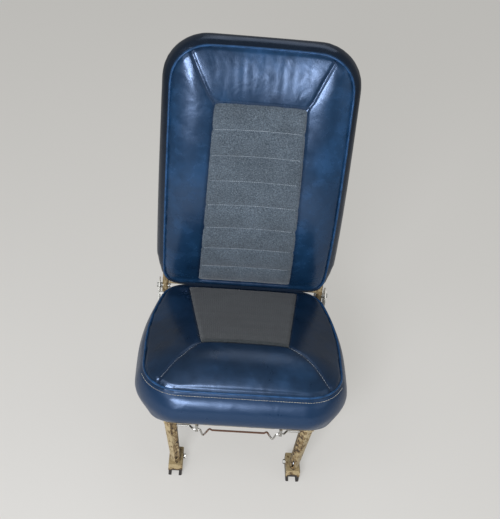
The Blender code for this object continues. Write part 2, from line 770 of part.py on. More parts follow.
def finger_place():
    """Where the bail's fingers rest, behind its axis and half a swing below it."""
    half = BAIL_SWING / 2
    return BAIL_AXIS_Y + BAIL_FINGER_ARM * cos(half), BAIL_AXIS_Z - BAIL_FINGER_ARM * sin(half)


def lift_line(z):
    """The lift wire leans outwards from the pin's top to its eye."""
    eye_z = finger_place()[1]
    share = (z - PIN_TOP_Z) / (eye_z - EYE_RADIUS - PIN_TOP_Z)
    return RAIL_HALF_PITCH + (EYE_X - RAIL_HALF_PITCH) * share


def leg_middle(z):
    low, high = FOOT_HEIGHT, FRAME_TOP - BEAM_HEIGHT
    return LEG_FOOT_X + (LEG_TOP_X - LEG_FOOT_X) * (z - low) / (high - low)


def leg_width(z):
    low, high = FOOT_HEIGHT, FRAME_TOP - BEAM_HEIGHT
    return LEG_FOOT_WIDTH + (LEG_TOP_WIDTH - LEG_FOOT_WIDTH) * (z - low) / (high - low)


def build_front_legs(finish, parent):
    """Pressed legs: a ridged front, two flanges, open behind; they taper and lean in to the feet."""
    for side, sign in SIDES.items():
        bm = bmesh.new()
        rings = []
        for z in (FOOT_HEIGHT + GAP, FRAME_TOP - BEAM_HEIGHT - GAP):
            half = leg_width(z) / 2
            shoulder, rear = LEG_FRONT_Y + LEG_RIDGE_DEPTH, LEG_FRONT_Y + LEG_DEPTH
            line = [(-half, rear), (-half, shoulder), (0.0, LEG_FRONT_Y), (half, shoulder), (half, rear)]
            outline = strip_outline(line, LEG_WALL)
            rings.append([Vector((sign * (leg_middle(z) + x), y, z)) for x, y in outline])
        add_loft(bm, rings)
        leg = finish_piece(f"front_leg_{side}", bm, finish, parent, smooth=False)
        cut(leg, peep_cutter(side, sign, parent))
        bm = bmesh.new()
        finger_z = finger_place()[1]
        rise = 2 * (BAIL_AXIS_Z - finger_z)
        room = BAIL_RADIUS + FINGER_ROOM
        bottom, top = finger_z - room, finger_z + rise + room
        walls = [leg_middle(z) - leg_width(z) / 2 for z in (bottom, top)]
        near, far = sign * (min(walls) - CUT_PAST), sign * (max(walls) + LEG_WALL + CUT_PAST)
        low = Vector((min(near, far), pin_y() - room, bottom))
        high = Vector((max(near, far), pin_y() + room, top))
        add_box(bm, low, high)
        cut(leg, finish_piece(f"finger_slot_{side}", bm, None, parent))


def peep_cutter(side, sign, parent):
    """The look-through in the leg's inner facet: round on one side of the seat, long on the other."""
    half = leg_width(PEEP_Z) / 2
    facet = Vector((-sign * LEG_RIDGE_DEPTH, -half, 0)).normalized()
    centre = Vector((sign * (leg_middle(PEEP_Z) - half / 2), LEG_FRONT_Y + LEG_RIDGE_DEPTH / 2, PEEP_Z))
    rise = FRAME_TOP - BEAM_HEIGHT - FOOT_HEIGHT
    upright = Vector((sign * (LEG_TOP_X - LEG_FOOT_X), 0, rise)).normalized()
    across = facet.cross(upright).normalized()
    run = 0.0 if side == "left" else PEEP_SLOT_LENGTH / 2 - PEEP_HOLE_RADIUS
    radius = PEEP_HOLE_RADIUS if side == "left" else 0.8 * PEEP_HOLE_RADIUS
    ring = []
    for i in range(ROUND_SIDES):
        angle = 2 * pi * (i + 0.5) / ROUND_SIDES
        shift = run if sin(angle) > 0 else -run
        ring.append(centre + across * radius * cos(angle) + upright * (radius * sin(angle) + shift))
    bm = bmesh.new()
    add_loft(bm, [[p + facet * PEEP_REACH for p in ring], [p - facet * PEEP_REACH for p in ring]])
    return finish_piece(f"peep_{side}", bm, None, parent)


def build_rear_legs(finish, parent):
    """Round tubes from the side rails down to the rear feet."""
    across, back = Vector((1, 0, 0)), Vector((0, 1, 0))
    y = REAR_FOOT_Y + FOOT_LENGTH / 2
    low, high = FOOT_HEIGHT + GAP, FRAME_TOP - BEAM_HEIGHT - GAP
    for side, sign in SIDES.items():
        rings = []
        inner = REAR_LEG_RADIUS - REAR_LEG_WALL
        for z, radius in ((low, REAR_LEG_RADIUS), (high, REAR_LEG_RADIUS), (high, inner), (low, inner)):
            middle = Vector((sign * leg_middle(z), y, z))
            rings.append(circle_points(middle, radius, ROUND_SIDES, across, back))
        bm = bmesh.new()
        add_loft(bm, rings, capped=False)
        finish_piece(f"rear_leg_{side}", bm, finish, parent)


def build_beams(finish, parent):
    """Front channel, two square side rails and the rear tube that also carries the hinge brackets."""
    bottom = FRAME_TOP - BEAM_HEIGHT
    outer = SIDE_RAIL_X + SIDE_RAIL_WIDTH / 2
    line = [(CHANNEL_DEPTH, FRAME_TOP), (0.0, FRAME_TOP), (0.0, bottom), (CHANNEL_DEPTH, bottom)]
    bm = bmesh.new()
    add_strip_along_x(bm, strip_outline(line, BEAM_WALL), -outer, outer)
    channel = finish_piece("front_cross_channel", bm, finish, parent, smooth=False)
    bm = bmesh.new()
    half = NOTCH_WIDTH / 2
    for sign in SIDES.values():
        x = sign * NOTCH_X
        low = (x - half, -CUT_PAST, bottom - CUT_PAST)
        add_box(bm, low, (x + half, CHANNEL_DEPTH / 2, bottom + NOTCH_HEIGHT))
    cut(channel, finish_piece("notches", bm, None, parent))
    rear_end = REAR_TUBE_Y - REAR_TUBE_RADIUS - GAP
    half = SIDE_RAIL_WIDTH / 2
    for side, sign in SIDES.items():
        bm = bmesh.new()
        x = sign * SIDE_RAIL_X
        low = (x - half, CHANNEL_DEPTH + GAP, bottom)
        add_box_tube(bm, low, (x + half, rear_end, FRAME_TOP), BEAM_WALL)
        finish_piece(f"side_rail_{side}", bm, finish, parent, smooth=False)
    bm = bmesh.new()
    end = BRACKET_INNER_X - GAP
    z = FRAME_TOP - REAR_TUBE_RADIUS
    start, stop = (-end, REAR_TUBE_Y, z), (end, REAR_TUBE_Y, z)
    add_rod(bm, start, stop, REAR_TUBE_RADIUS, ROUND_SIDES, REAR_TUBE_RADIUS - REAR_TUBE_WALL)
    finish_piece("rear_cross_tube", bm, finish, parent)


def build_lock(steel, brass, parent):
    """In each front leg: bush, lock pin with its lift wire and eye, return spring and spring seat."""
    finger_y, finger_z = finger_place()
    back, up = Vector((0, 1, 0)), Vector((0, 0, 1))
    for side, sign in SIDES.items():
        across = Vector((sign, 0, 0))
        foot = Vector((sign * RAIL_HALF_PITCH, pin_y(), 0))
        bm = bmesh.new()
        outer, inner = PIN_RADIUS + GAP + BUSH_WALL, PIN_RADIUS + GAP
        low, high = CLAW_HEIGHT + GAP, FOOT_HEIGHT - GAP
        profile = [(low, inner), (low, outer), (high, outer), (high, inner)]
        add_turned(bm, profile, foot, up, across, closed=True)
        finish_piece(f"pin_bush_{side}", bm, brass, parent)
        pin_empty = make_empty(f"pin_axis_{side}", foot)
        pin_empty.parent = parent
        rings = []
        for z, radius in (
            (PIN_TIP_Z, PIN_RADIUS - PIN_CHAMFER), (PIN_TIP_Z + PIN_CHAMFER, PIN_RADIUS),
            (PIN_TOP_Z - PIN_CHAMFER, PIN_RADIUS), (PIN_TOP_Z, PIN_RADIUS - PIN_CHAMFER),
        ):
            rings.append(circle_points(up * z, radius, PIN_SIDES, across, back))
        eye = Vector((sign * (EYE_X - RAIL_HALF_PITCH), 0, finger_z))
        wire = [Vector((0, 0, PIN_TOP_Z + PIN_NECK)), eye - up * (EYE_RADIUS + EYE_NECK)]
        turns = [radians(-90 + 30 * i) for i in range(11)]
        wire += [eye + EYE_RADIUS * (cos(a) * back + sin(a) * up) for a in turns]
        for i, point in enumerate(wire):
            before, after = wire[max(i - 1, 0)], wire[min(i + 1, len(wire) - 1)]
            along = up if i == 0 else (after - before).normalized()
            outward = (across - along * across.dot(along)).normalized()
            rearward = along.cross(outward) * sign
            rings.append(circle_points(point, LIFT_WIRE_RADIUS, PIN_SIDES, outward, rearward))
        bm = bmesh.new()
        add_loft(bm, rings)
        finish_piece(f"lock_pin_{side}", bm, steel, pin_empty)
        build_pin_spring(side, sign, steel, parent)


def build_pin_spring(side, sign, steel, parent):
    low = PIN_TOP_Z + SPRING_WIRE + GAP
    high = SPRING_SEAT_Z - SPRING_WIRE - GAP
    steps = SPRING_TURNS * SPRING_SIDES
    coil = []
    for i in range(steps + 1):
        angle, z = 2 * pi * i / SPRING_SIDES, low + (high - low) * i / steps
        middle = Vector((sign * lift_line(z), pin_y(), z))
        coil.append(middle + SPRING_RADIUS * Vector((cos(angle), sin(angle), 0)))
    bm = bmesh.new()
    add_wire(bm, coil, SPRING_WIRE, 4)
    finish_piece(f"pin_spring_{side}", bm, steel, parent)
    bm = bmesh.new()
    seat = Vector((sign * lift_line(SPRING_SEAT_Z), pin_y(), SPRING_SEAT_Z))
    hole = SPRING_RADIUS - SPRING_WIRE - GAP
    thick = SPRING_SEAT_THICKNESS
    profile = [(0.0, hole), (0.0, SPRING_SEAT_RADIUS), (thick, SPRING_SEAT_RADIUS), (thick, hole)]
    add_turned(bm, profile, seat, Vector((0, 0, 1)), Vector((1, 0, 0)), closed=True)
    finish_piece(f"spring_seat_{side}", bm, steel, parent)


def build_bail(steel, finish, parent):
    """The release bail: one bent wire with a grip, a crank at each end of it and two lifting fingers."""
    finger_y, finger_z = finger_place()
    axle = make_empty("bail_axis", (0.0, BAIL_AXIS_Y, BAIL_AXIS_Z))
    axle.parent = parent
    dy, dz = finger_y - BAIL_AXIS_Y, finger_z - BAIL_AXIS_Z
    half = [
        (BAIL_FINGER_END_X, dy, dz), (BAIL_FINGER_START_X, dy, dz), (BAIL_AXLE_OUTER_X, 0.0, 0.0),
        (BAIL_AXLE_INNER_X, 0.0, 0.0), (BAIL_CRANK_X, 0.7 * BAIL_GRIP_SETBACK, -BAIL_CRANK_DROP),
        (BAIL_CRANK_X - BAIL_GRIP_RAMP, BAIL_GRIP_SETBACK, -0.7 * BAIL_GRIP_DROP),
        (BAIL_GRIP_X, BAIL_GRIP_SETBACK, -BAIL_GRIP_DROP),
    ]
    corners = half + [(-x, y, z) for x, y, z in reversed(half)]
    bm = bmesh.new()
    add_wire(bm, rounded_path(corners, BAIL_BEND, 2), BAIL_RADIUS, BAIL_SIDES)
    finish_piece("release_bail", bm, steel, axle)
    around = BAIL_RADIUS + GAP + HANGER_THICKNESS
    top = FRAME_TOP - BEAM_HEIGHT - GAP
    line = [
        (HANGER_PAD, top), (BAIL_AXIS_Y - around, top), (BAIL_AXIS_Y - around, BAIL_AXIS_Z - around),
        (BAIL_AXIS_Y + around, BAIL_AXIS_Z - around), (BAIL_AXIS_Y + around, BAIL_AXIS_Z + BAIL_RADIUS),
    ]
    for side, sign in SIDES.items():
        x, half_width = sign * HANGER_X, HANGER_WIDTH / 2
        bm = bmesh.new()
        add_strip_along_x(bm, strip_outline(line, HANGER_THICKNESS), x - half_width, x + half_width)
        finish_piece(f"bail_hanger_{side}", bm, finish, parent, smooth=False)


def zigzag(start, end, width):
    """A flat zigzag from start to end; width is the whole swing."""
    start, end = Vector(start), Vector(end)
    bars = int(round((end - start).length / ZIGZAG_PITCH)) + 1
    along = (end - start) / (bars - 1)
    return bars, along, width / 2


def build_seat_springs(steel, parent):
    """Zigzag springs from the front channel to the rear tube, held by clips welded to both."""
    clip = CLIP_THICKNESS + ZIGZAG_WIRE + GAP
    wire_z = FRAME_TOP + GAP + clip
    front_y, rear_y = CLIP_FRONT_Y + clip, REAR_TUBE_Y + CLIP_REAR_REACH - clip
    front_clips, rear_clips = bmesh.new(), bmesh.new()
    rows = (-OUTER_SPRING_X, -INNER_SPRING_X, INNER_SPRING_X, OUTER_SPRING_X)
    for number, x in enumerate(rows, 1):
        bars, along, half = zigzag((x, front_y, wire_z), (x, rear_y, wire_z), ZIGZAG_WIDTH)
        corners = []
        for i in range(bars):
            y = front_y + along.y * i
            swing = half if i % 2 else -half
            corners += [(x + swing, y, wire_z), (x - swing, y, wire_z)]
        bm = bmesh.new()
        add_wire(bm, rounded_path(corners, ZIGZAG_BEND, 1), ZIGZAG_WIRE)
        finish_piece(f"seat_spring_{number}", bm, steel, parent)
        for bm, y, way in ((front_clips, front_y, 1), (rear_clips, rear_y, -1)):
            line = [(y + way * CLIP_TONGUE, wire_z + clip), (y - way * clip, wire_z + clip)]
            line += [(y - way * clip, wire_z - clip), (y + way * CLIP_FOOT, wire_z - clip)]
            outline = strip_outline(line, way * CLIP_THICKNESS)
            outline = [(y, z - WELD_SINK if z < wire_z - clip + GAP else z) for y, z in outline]
            add_strip_along_x(bm, outline, x - CLIP_WIDTH / 2, x + CLIP_WIDTH / 2)
    weld(bpy.data.objects["front_cross_channel"], finish_piece("front_clips", front_clips, steel, parent))
    weld(bpy.data.objects["rear_cross_tube"], finish_piece("rear_clips", rear_clips, steel, parent))


def build_seat_cushion(leather, cloth, piping, parent):
    outline = seat_outline()
    bed = INSERT_THICKNESS + INSERT_BED
    bm = bmesh.new()
    spine = (SEAT_FRONT_Y + SEAT_HALF_WIDTH * 0.8, SEAT_REAR_Y - SEAT_REAR_HALF_WIDTH * 0.8)
    add_cushion(bm, outline, spine, lambda u, v: seat_height(u, v) - bed, seat_boxing, flat_seat)
    finish_piece("seat_cushion", bm, leather, parent)
    bm = bmesh.new()
    path = welt_path(outline, lambda point: seat_welt_height(point.y), flat_seat)
    add_wire(bm, path, WELT_RADIUS, WIRE_SIDES, closed=True)
    finish_piece("seat_welt", bm, piping, parent)

    def corner_at(s, t):
        rear_y = SEAT_REAR_Y - SEAT_INSERT_SETBACK
        v = rear_y + (SEAT_CROWN_Y - rear_y) * t
        half = SEAT_INSERT_REAR_HALF + (SEAT_INSERT_FRONT_HALF - SEAT_INSERT_REAR_HALF) * t
        return (2 * s - 1) * half, v

    def puff(_s, t):
        return 0.4 * INSERT_PUFF * abs(sin(pi * t * SEAT_INSERT_ROWS))

    bm = bmesh.new()
    rows = SEAT_INSERT_ROWS * ROW_STEPS
    add_panel(bm, corner_at, rows, INSERT_COLUMNS, seat_height, INSERT_THICKNESS, flat_seat, puff)
    finish_piece("seat_insert", bm, cloth, parent)


def build_back_cushion(leather, cloth, piping, parent):
    outline = back_outline()
    bed = INSERT_THICKNESS + INSERT_BED
    bm = bmesh.new()
    spine = (BACK_BOTTOM + BACK_HALF_WIDTH * 0.7, BACK_TOP - BACK_HALF_WIDTH * 0.7)
    add_cushion(bm, outline, spine, lambda u, v: back_height(u, v) - bed, back_boxing, flat_back)
    finish_piece("back_cushion", bm, leather, parent)
    bm = bmesh.new()
    add_wire(bm, welt_path(outline, back_welt_level, flat_back), WELT_RADIUS, WIRE_SIDES, closed=True)
    finish_piece("back_welt", bm, piping, parent)

    def corner_at(s, t):
        half = INSERT_LOWER_HALF + (INSERT_UPPER_HALF - INSERT_LOWER_HALF) * t
        return (2 * s - 1) * half, back_row_height(t)

    def puff(_s, t):
        return INSERT_PUFF * abs(sin(pi * t * QUILT_ROWS))

    bm = bmesh.new()
    rows = QUILT_ROWS * ROW_STEPS
    add_panel(bm, corner_at, rows, INSERT_COLUMNS, back_height, INSERT_THICKNESS, flat_back, puff)
    finish_piece("back_insert", bm, cloth, parent)


def build_back_shell(leather, parent):
    """The rear cover: a pan over the tube frame, slotted where the tubes come out below."""
    outer, front, rear = SHELL_OVERHANG, HOOP_RADIUS, -SHELL_REAR
    wall, bend = SHELL_WALL, SHELL_ROUND
    section = [
        (outer - bend, rear), (outer - 0.3 * bend, rear + 0.3 * bend),
        (outer, rear + bend), (outer, front), (outer - wall, front), (outer - wall, rear + bend),
        (outer - wall - 0.3 * bend, rear + wall + 0.3 * bend), (outer - bend - 0.3 * wall, rear + wall),
    ]
    rings = []
    for outward, level in section:
        ring = []
        for point, normal in back_outline():
            spot = point + normal * outward
            ring.append(flat_back(spot.x, spot.y, level))
        rings.append(ring)
    bm = bmesh.new()
    add_loft(bm, rings)
    shell = finish_piece("back_rear_cover", bm, leather, parent)
    bm = bmesh.new()
    room = HOOP_RADIUS + TAIL_ROOM
    top = BACK_BOTTOM + BACK_LOWER_CORNER + HOOP_RADIUS + 2 * TAIL_ROOM
    for sign in SIDES.values():
        x = sign * HOOP_HALF_WIDTH
        add_box(bm, (x - room, -room, 0.0), (x + room, room, top))
    cut(shell, finish_piece("tube_slots", bm, None, parent))


def build_back_frame(finish, steel, parent):
    """Hoop tube with its two tails, a lower rod that the cover is ringed to, springs and clips."""
    corners = [
        (-HOOP_HALF_WIDTH, 0.0, -HOOP_TAIL), (-HOOP_HALF_WIDTH, 0.0, HOOP_TOP),
        (HOOP_HALF_WIDTH, 0.0, HOOP_TOP), (HOOP_HALF_WIDTH, 0.0, -HOOP_TAIL),
    ]
    bm = bmesh.new()
    path = rounded_path(corners, HOOP_BEND, 5)
    add_wire(bm, path, HOOP_RADIUS, ROUND_SIDES, bore=HOOP_RADIUS - HOOP_WALL)
    hoop = finish_piece("back_hoop", bm, finish, parent)
    bm = bmesh.new()
    reach = HOOP_HALF_WIDTH + 2 * HOOP_RADIUS
    for sign in SIDES.values():
        near, far = sign * (HOOP_HALF_WIDTH - 2 * HOOP_RADIUS), sign * reach
        add_rod(bm, (near, 0.0, 0.0), (far, 0.0, 0.0), HINGE_BOLT_RADIUS + GAP)
    cut(hoop, finish_piece("hinge_holes", bm, None, parent))
    inner = HOOP_HALF_WIDTH - HOOP_RADIUS - GAP
    bm = bmesh.new()
    add_rod(bm, (-inner, 0.0, BACK_ROD_HEIGHT), (inner, 0.0, BACK_ROD_HEIGHT), BACK_ROD_RADIUS)
    rod = finish_piece("back_lower_rod", bm, finish, parent)
    weld(rod, make_hog_rings(steel, parent))
    build_back_springs(inner + GAP, hoop, steel, parent)


def make_hog_rings(steel, parent):
    """Wire rings that hold the cover's hem; they hang on the lower rod."""
    bm = bmesh.new()
    drop = HOG_RING_RADIUS - HOG_RING_WIRE - BACK_ROD_RADIUS + GAP
    for i in range(HOG_RING_COUNT):
        x = (i - (HOG_RING_COUNT - 1) / 2) * HOG_RING_PITCH
        turns = [2 * pi * (k + 0.5) / 10 for k in range(10)]
        centre = Vector((x, 0.0, BACK_ROD_HEIGHT - drop))
        loop = [centre + HOG_RING_RADIUS * Vector((0.0, cos(a), sin(a))) for a in turns]
        add_wire(bm, loop, HOG_RING_WIRE, 4, closed=True)
    return finish_piece("hog_rings", bm, steel, parent)


def build_back_springs(inner, hoop, steel, parent):
    """Zigzag springs across the hoop, held by clips welded to its sides."""
    clip = CLIP_THICKNESS + ZIGZAG_WIRE + GAP
    end = inner - clip - GAP
    clips = bmesh.new()
    for number, height in enumerate(BACK_SPRING_HEIGHTS, 1):
        bars, along, half = zigzag((-end, 0, height), (end, 0, height), ZIGZAG_WIDTH)
        corners = []
        for i in range(bars):
            x = -end + along.x * i
            swing = half if i % 2 else -half
            corners += [(x, 0.0, height + swing), (x, 0.0, height - swing)]
        bm = bmesh.new()
        add_wire(bm, rounded_path(corners, ZIGZAG_BEND, 1), ZIGZAG_WIRE)
        finish_piece(f"back_spring_{number}", bm, steel, parent)
        for sign in SIDES.values():
            foot, tongue = (inner - GAP, -CLIP_TONGUE), (end - clip, -CLIP_TONGUE / 2)
            line = [foot, (inner - GAP, clip), (end - clip, clip), tongue]
            outline = strip_outline(line, CLIP_THICKNESS)
            outline = [(x + WELD_SINK if x > inner - 2 * GAP else x, y) for x, y in outline]
            rings = []
            for z in (height - CLIP_WIDTH / 2, height + CLIP_WIDTH / 2):
                rings.append([Vector((sign * x, y, z)) for x, y in outline])
            add_loft(clips, rings)
    weld(hoop, finish_piece("back_clips", clips, steel, parent))


def build_hinges(finish, steel, parent):
    """Side brackets with welded stop pins on the rear tube's ends, and the bolts the back turns on."""
    foot_z = FRAME_TOP - REAR_TUBE_RADIUS
    fall = Vector((0.0, REAR_TUBE_Y - HINGE_Y, foot_z - HINGE_Z))
    tilt = atan2(fall.y, -fall.z)
    lean = (BRACKET_TOP_RADIUS - BRACKET_FOOT_RADIUS) / fall.length
    for side, sign in SIDES.items():
        bm = bmesh.new()
        outline = []
        for i in range(13):
            angle = -tilt - lean + (pi + 2 * lean) * i / 12
            ray = (cos(angle), sin(angle))
            outline.append((HINGE_Y + BRACKET_TOP_RADIUS * ray[0], HINGE_Z + BRACKET_TOP_RADIUS * ray[1]))
        for i in range(13):
            angle = pi - tilt + lean + (pi - 2 * lean) * i / 12
            ray = (cos(angle), sin(angle))
            spot = (REAR_TUBE_Y + BRACKET_FOOT_RADIUS * ray[0], foot_z + BRACKET_FOOT_RADIUS * ray[1])
            outline.append(spot)
        inner, outer = sign * BRACKET_INNER_X, sign * (BRACKET_INNER_X + BRACKET_THICKNESS)
        add_strip_along_x(bm, outline, inner, outer)
        bracket = finish_piece(f"hinge_bracket_{side}", bm, finish, parent, smooth=False)
        bm = bmesh.new()
        start, end = inner - sign * CUT_PAST, outer + sign * CUT_PAST
        add_rod(bm, (start, HINGE_Y, HINGE_Z), (end, HINGE_Y, HINGE_Z), HINGE_BOLT_RADIUS + GAP)
        cut(bracket, finish_piece(f"bracket_hole_{side}", bm, None, parent))
        inward = Vector((-sign, 0, 0))
        head = Vector((outer + sign * (GAP + HINGE_HEAD_HEIGHT), HINGE_Y, HINGE_Z))
        tube_inner = HOOP_HALF_WIDTH - HOOP_RADIUS
        length = abs(head.x) - tube_inner + HINGE_HEAD_HEIGHT + BOLT_END
        bm = bmesh.new()
        add_bolt(bm, head, inward, HINGE_HEAD_RADIUS, HINGE_HEAD_HEIGHT, HINGE_BOLT_RADIUS, length)
        finish_piece(f"hinge_bolt_{side}", bm, steel, parent)
        nut_start = Vector((sign * (tube_inner - GAP), HINGE_Y, HINGE_Z))
        bm = bmesh.new()
        add_nut(bm, nut_start, inward, HINGE_HEAD_RADIUS, HINGE_HEAD_HEIGHT, HINGE_BOLT_RADIUS + GAP)
        finish_piece(f"hinge_nut_{side}", bm, steel, parent)
        low, high = HOOP_HALF_WIDTH + HOOP_RADIUS + GAP, BRACKET_INNER_X - GAP
        bore, wall = HINGE_BOLT_RADIUS + GAP, HINGE_BOLT_RADIUS + SPACER_WALL
        across = Vector((sign, 0, 0))
        place = Vector((0, HINGE_Y, HINGE_Z))
        profile = [(low, bore), (low, wall), (high, wall), (high, bore)]
        bm = bmesh.new()
        add_turned(bm, profile, place, across, Vector((0, 1, 0)), closed=True)
        finish_piece(f"hinge_spacer_{side}", bm, steel, parent)
        away = HOOP_RADIUS + STOP_PIN_RADIUS + GAP
        stop_y = HINGE_Y - away * cos(RECLINE) - STOP_PIN_DROP * sin(RECLINE)
        stop_z = HINGE_Z + away * sin(RECLINE) - STOP_PIN_DROP * cos(RECLINE)
        near, far = sign * (HOOP_HALF_WIDTH - HOOP_RADIUS), sign * (BRACKET_INNER_X + GAP)
        bm = bmesh.new()
        add_rod(bm, (near, stop_y, stop_z), (far, stop_y, stop_z), STOP_PIN_RADIUS)
        weld(bracket, finish_piece(f"stop_pin_{side}", bm, steel, parent))


def add_nut(bm, start, along, radius, height, bore):
    across = along.orthogonal().normalized()
    up = along.cross(across)
    corners = circle_points(Vector(start), radius, 6, across, up)
    outer = []
    for i, corner in enumerate(corners):
        outer += [corner, (corner + corners[(i + 1) % 6]) / 2]
    inner = circle_points(Vector(start), bore, 12, across, up)
    rings = [outer, [p + along * height for p in outer], [p + along * height for p in inner], inner]
    add_loft(bm, rings, capped=False)


def build_seat():
    clear_scene()
    cream = make_material("cream_paint", (0.62, 0.54, 0.38), 0.5)
    steel = make_material("plain_steel", (0.35, 0.33, 0.3), 0.4, 1.0)
    bronze = make_material("bearing_bronze", (0.5, 0.35, 0.18), 0.4, 1.0)
    leather = make_material("blue_leather", (0.03, 0.09, 0.22), 0.4)
    piping = make_material("blue_piping", (0.07, 0.16, 0.34), 0.4)
    back_cloth = make_material("grey_blue_cloth", (0.16, 0.2, 0.23), 0.9)
    seat_cloth = make_material("dark_grey_cloth", (0.08, 0.085, 0.085), 0.9)
    base = make_empty("seat_frame", (0.0, -FRONT_TO_ORIGIN, 0.0))
    back = make_empty("back_hinge", (0.0, HINGE_Y, HINGE_Z), -RECLINE)
    back.parent = base
    build_beams(cream, base)
    build_feet(cream, base)
    build_rollers(steel, base)
    build_front_legs(cream, base)
    build_rear_legs(cream, base)
    build_lock(steel, bronze, base)
    build_bail(steel, cream, base)
    build_seat_springs(steel, base)
    build_seat_cushion(leather, seat_cloth, piping, base)
    build_hinges(cream, steel, base)
    build_back_frame(cream, steel, back)
    build_back_cushion(leather, back_cloth, piping, back)
    build_back_shell(leather, back)


build_seat()
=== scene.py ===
"""Looks of the pilot seat: leather, cloth, piping, thread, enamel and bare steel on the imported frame.

Metres, +Z up, in the frame's own place. The two cushions are shaped lying flat, with X across, Y along
and Z out of the padded face, puffed up by simulation, sewn, and then set on the frame.
"""
from math import cos, pi, radians, sin, tan

import bpy
import numpy as np
from mathutils import Matrix, Vector
from mathutils.bvhtree import BVHTree


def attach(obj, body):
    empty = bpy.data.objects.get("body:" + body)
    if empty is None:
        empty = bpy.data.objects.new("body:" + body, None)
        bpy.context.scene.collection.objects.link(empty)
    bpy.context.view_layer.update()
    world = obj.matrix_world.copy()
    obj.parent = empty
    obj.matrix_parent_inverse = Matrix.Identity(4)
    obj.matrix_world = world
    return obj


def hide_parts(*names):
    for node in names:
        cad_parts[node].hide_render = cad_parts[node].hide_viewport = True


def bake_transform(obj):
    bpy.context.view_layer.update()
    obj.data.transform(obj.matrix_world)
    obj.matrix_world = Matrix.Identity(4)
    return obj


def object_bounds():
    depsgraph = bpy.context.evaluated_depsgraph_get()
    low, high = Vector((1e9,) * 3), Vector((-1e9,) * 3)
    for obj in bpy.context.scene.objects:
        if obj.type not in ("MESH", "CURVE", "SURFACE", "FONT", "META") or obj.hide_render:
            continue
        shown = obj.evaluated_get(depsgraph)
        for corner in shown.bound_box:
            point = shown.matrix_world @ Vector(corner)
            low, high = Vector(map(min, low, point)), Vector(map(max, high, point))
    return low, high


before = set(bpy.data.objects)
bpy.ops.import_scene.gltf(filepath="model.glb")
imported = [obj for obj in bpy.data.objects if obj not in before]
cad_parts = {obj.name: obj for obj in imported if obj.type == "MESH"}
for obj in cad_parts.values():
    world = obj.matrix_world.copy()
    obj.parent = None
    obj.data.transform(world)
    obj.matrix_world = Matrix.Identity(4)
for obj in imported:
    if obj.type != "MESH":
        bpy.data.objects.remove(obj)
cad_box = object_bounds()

MM = 0.001

# Where the two flat-made cushions go
SEAT_SHIFT = 223.84 * MM
HINGE_Y = 405.0 * MM - SEAT_SHIFT
HINGE_Z = 258.0 * MM
RECLINE = radians(7.3)
SEAT_PLACE = Matrix.Translation((0.0, -SEAT_SHIFT, 0.0))
BACK_PLACE = Matrix((
    (1.0, 0.0, 0.0, 0.0),
    (0.0, sin(RECLINE), -cos(RECLINE), HINGE_Y),
    (0.0, cos(RECLINE), sin(RECLINE), HINGE_Z),
    (0.0, 0.0, 0.0, 1.0),
))

# Seat cushion, lying flat: X across, Y from front to rear, Z up
SEAT_FRONT = -25.0 * MM
SEAT_REAR = 384.0 * MM
SEAT_FRONT_HALF = 222.0 * MM
SEAT_HALF = 228.0 * MM
SEAT_REAR_HALF = 190.0 * MM
SEAT_WIDEST = 212.0 * MM
SEAT_WELT_FRONT = 285.0 * MM
SEAT_WELT_REAR = 281.0 * MM
SEAT_DIP_START = 330.0 * MM
SEAT_REAR_DIP = 1.0 * MM
SEAT_CROWN = 340.0 * MM
SEAT_CROWN_Y = 82.0 * MM
SEAT_BASE = 195.0 * MM
SEAT_FRONT_CORNER = 88.0 * MM
SEAT_REAR_CORNER = 66.0 * MM
SEAT_SIDE_SWEEP = 0.62
SEAT_ROLL_POWER = 2.5
SEAT_CROWN_POWER = 3
SEAT_INSERT_FRONT = 89.0 * MM
SEAT_INSERT_REAR = 368.0 * MM
SEAT_INSERT_REAR_HALF = 136.0 * MM
SEAT_INSERT_FRONT_HALF = 97.0 * MM
SEAT_CLOTH_GRID = (120, 110)
SEAT_CLOTH_ROWS = 8
SEAT_CLOTH_PUFF = 0.6 * MM

# The seat's boxing at its sides, front, rear and front corners: how far it bulges out and tucks
# under, in mm, and how much lower the cover reaches at the front corners
SEAT_BULGES = (18, 29, 10, -5)
SEAT_TUCKS = (38, -5, 4, -19)
CORNER_REACH = 5.0 * MM

# Back cushion, lying flat: X across, Y up the tubes, Z forward
BACK_HALF = 209.0 * MM
BACK_LOWER_HALF = 204.0 * MM
BACK_BOTTOM = 19.0 * MM
BACK_TOP = 637.0 * MM
BACK_FOOT_BOW = 6.0 * MM
BACK_FOOT_CORNER = 22.0 * MM
BACK_TOP_CORNER = 84.0 * MM
BACK_FOOT_SWEEP = 3.0
BACK_BULGE = 20.0 * MM
FULL_BULGE_DEPTH = 45.0 * MM
BACK_HOLLOW = 10.0 * MM
HOLLOW_RISE = 250.0 * MM
HOLLOW_SHARE = 0.75
BACK_REAR = 8.3 * MM
REAR_LIP = 6.0 * MM
QUILT_ROW = 61.0 * MM
QUILT_ROWS = 8
QUILT_PUFF = 4.4 * MM
QUILT_GRID = (110, 240)
INSERT_FOOT = 38.0 * MM
INSERT_FOOT_LEVEL = 27.0 * MM
INSERT_LOWER_HALF = 115.0 * MM
INSERT_UPPER_HALF = 105.0 * MM
LUMBAR_LEAN = radians(-31.2)
SHOULDER_LEAN = radians(5.1)
PROFILE_STEP = 4.0 * MM

# How far the back's face falls at its rim, and over what width
SIDE_SETBACK, BOLSTER_REACH = 15.0 * MM, 70.0 * MM
TOP_SETBACK, TOP_REACH = 10.0 * MM, 118.0 * MM
FOOT_SETBACK, FOOT_ROUND = 13.0 * MM, 12.0 * MM

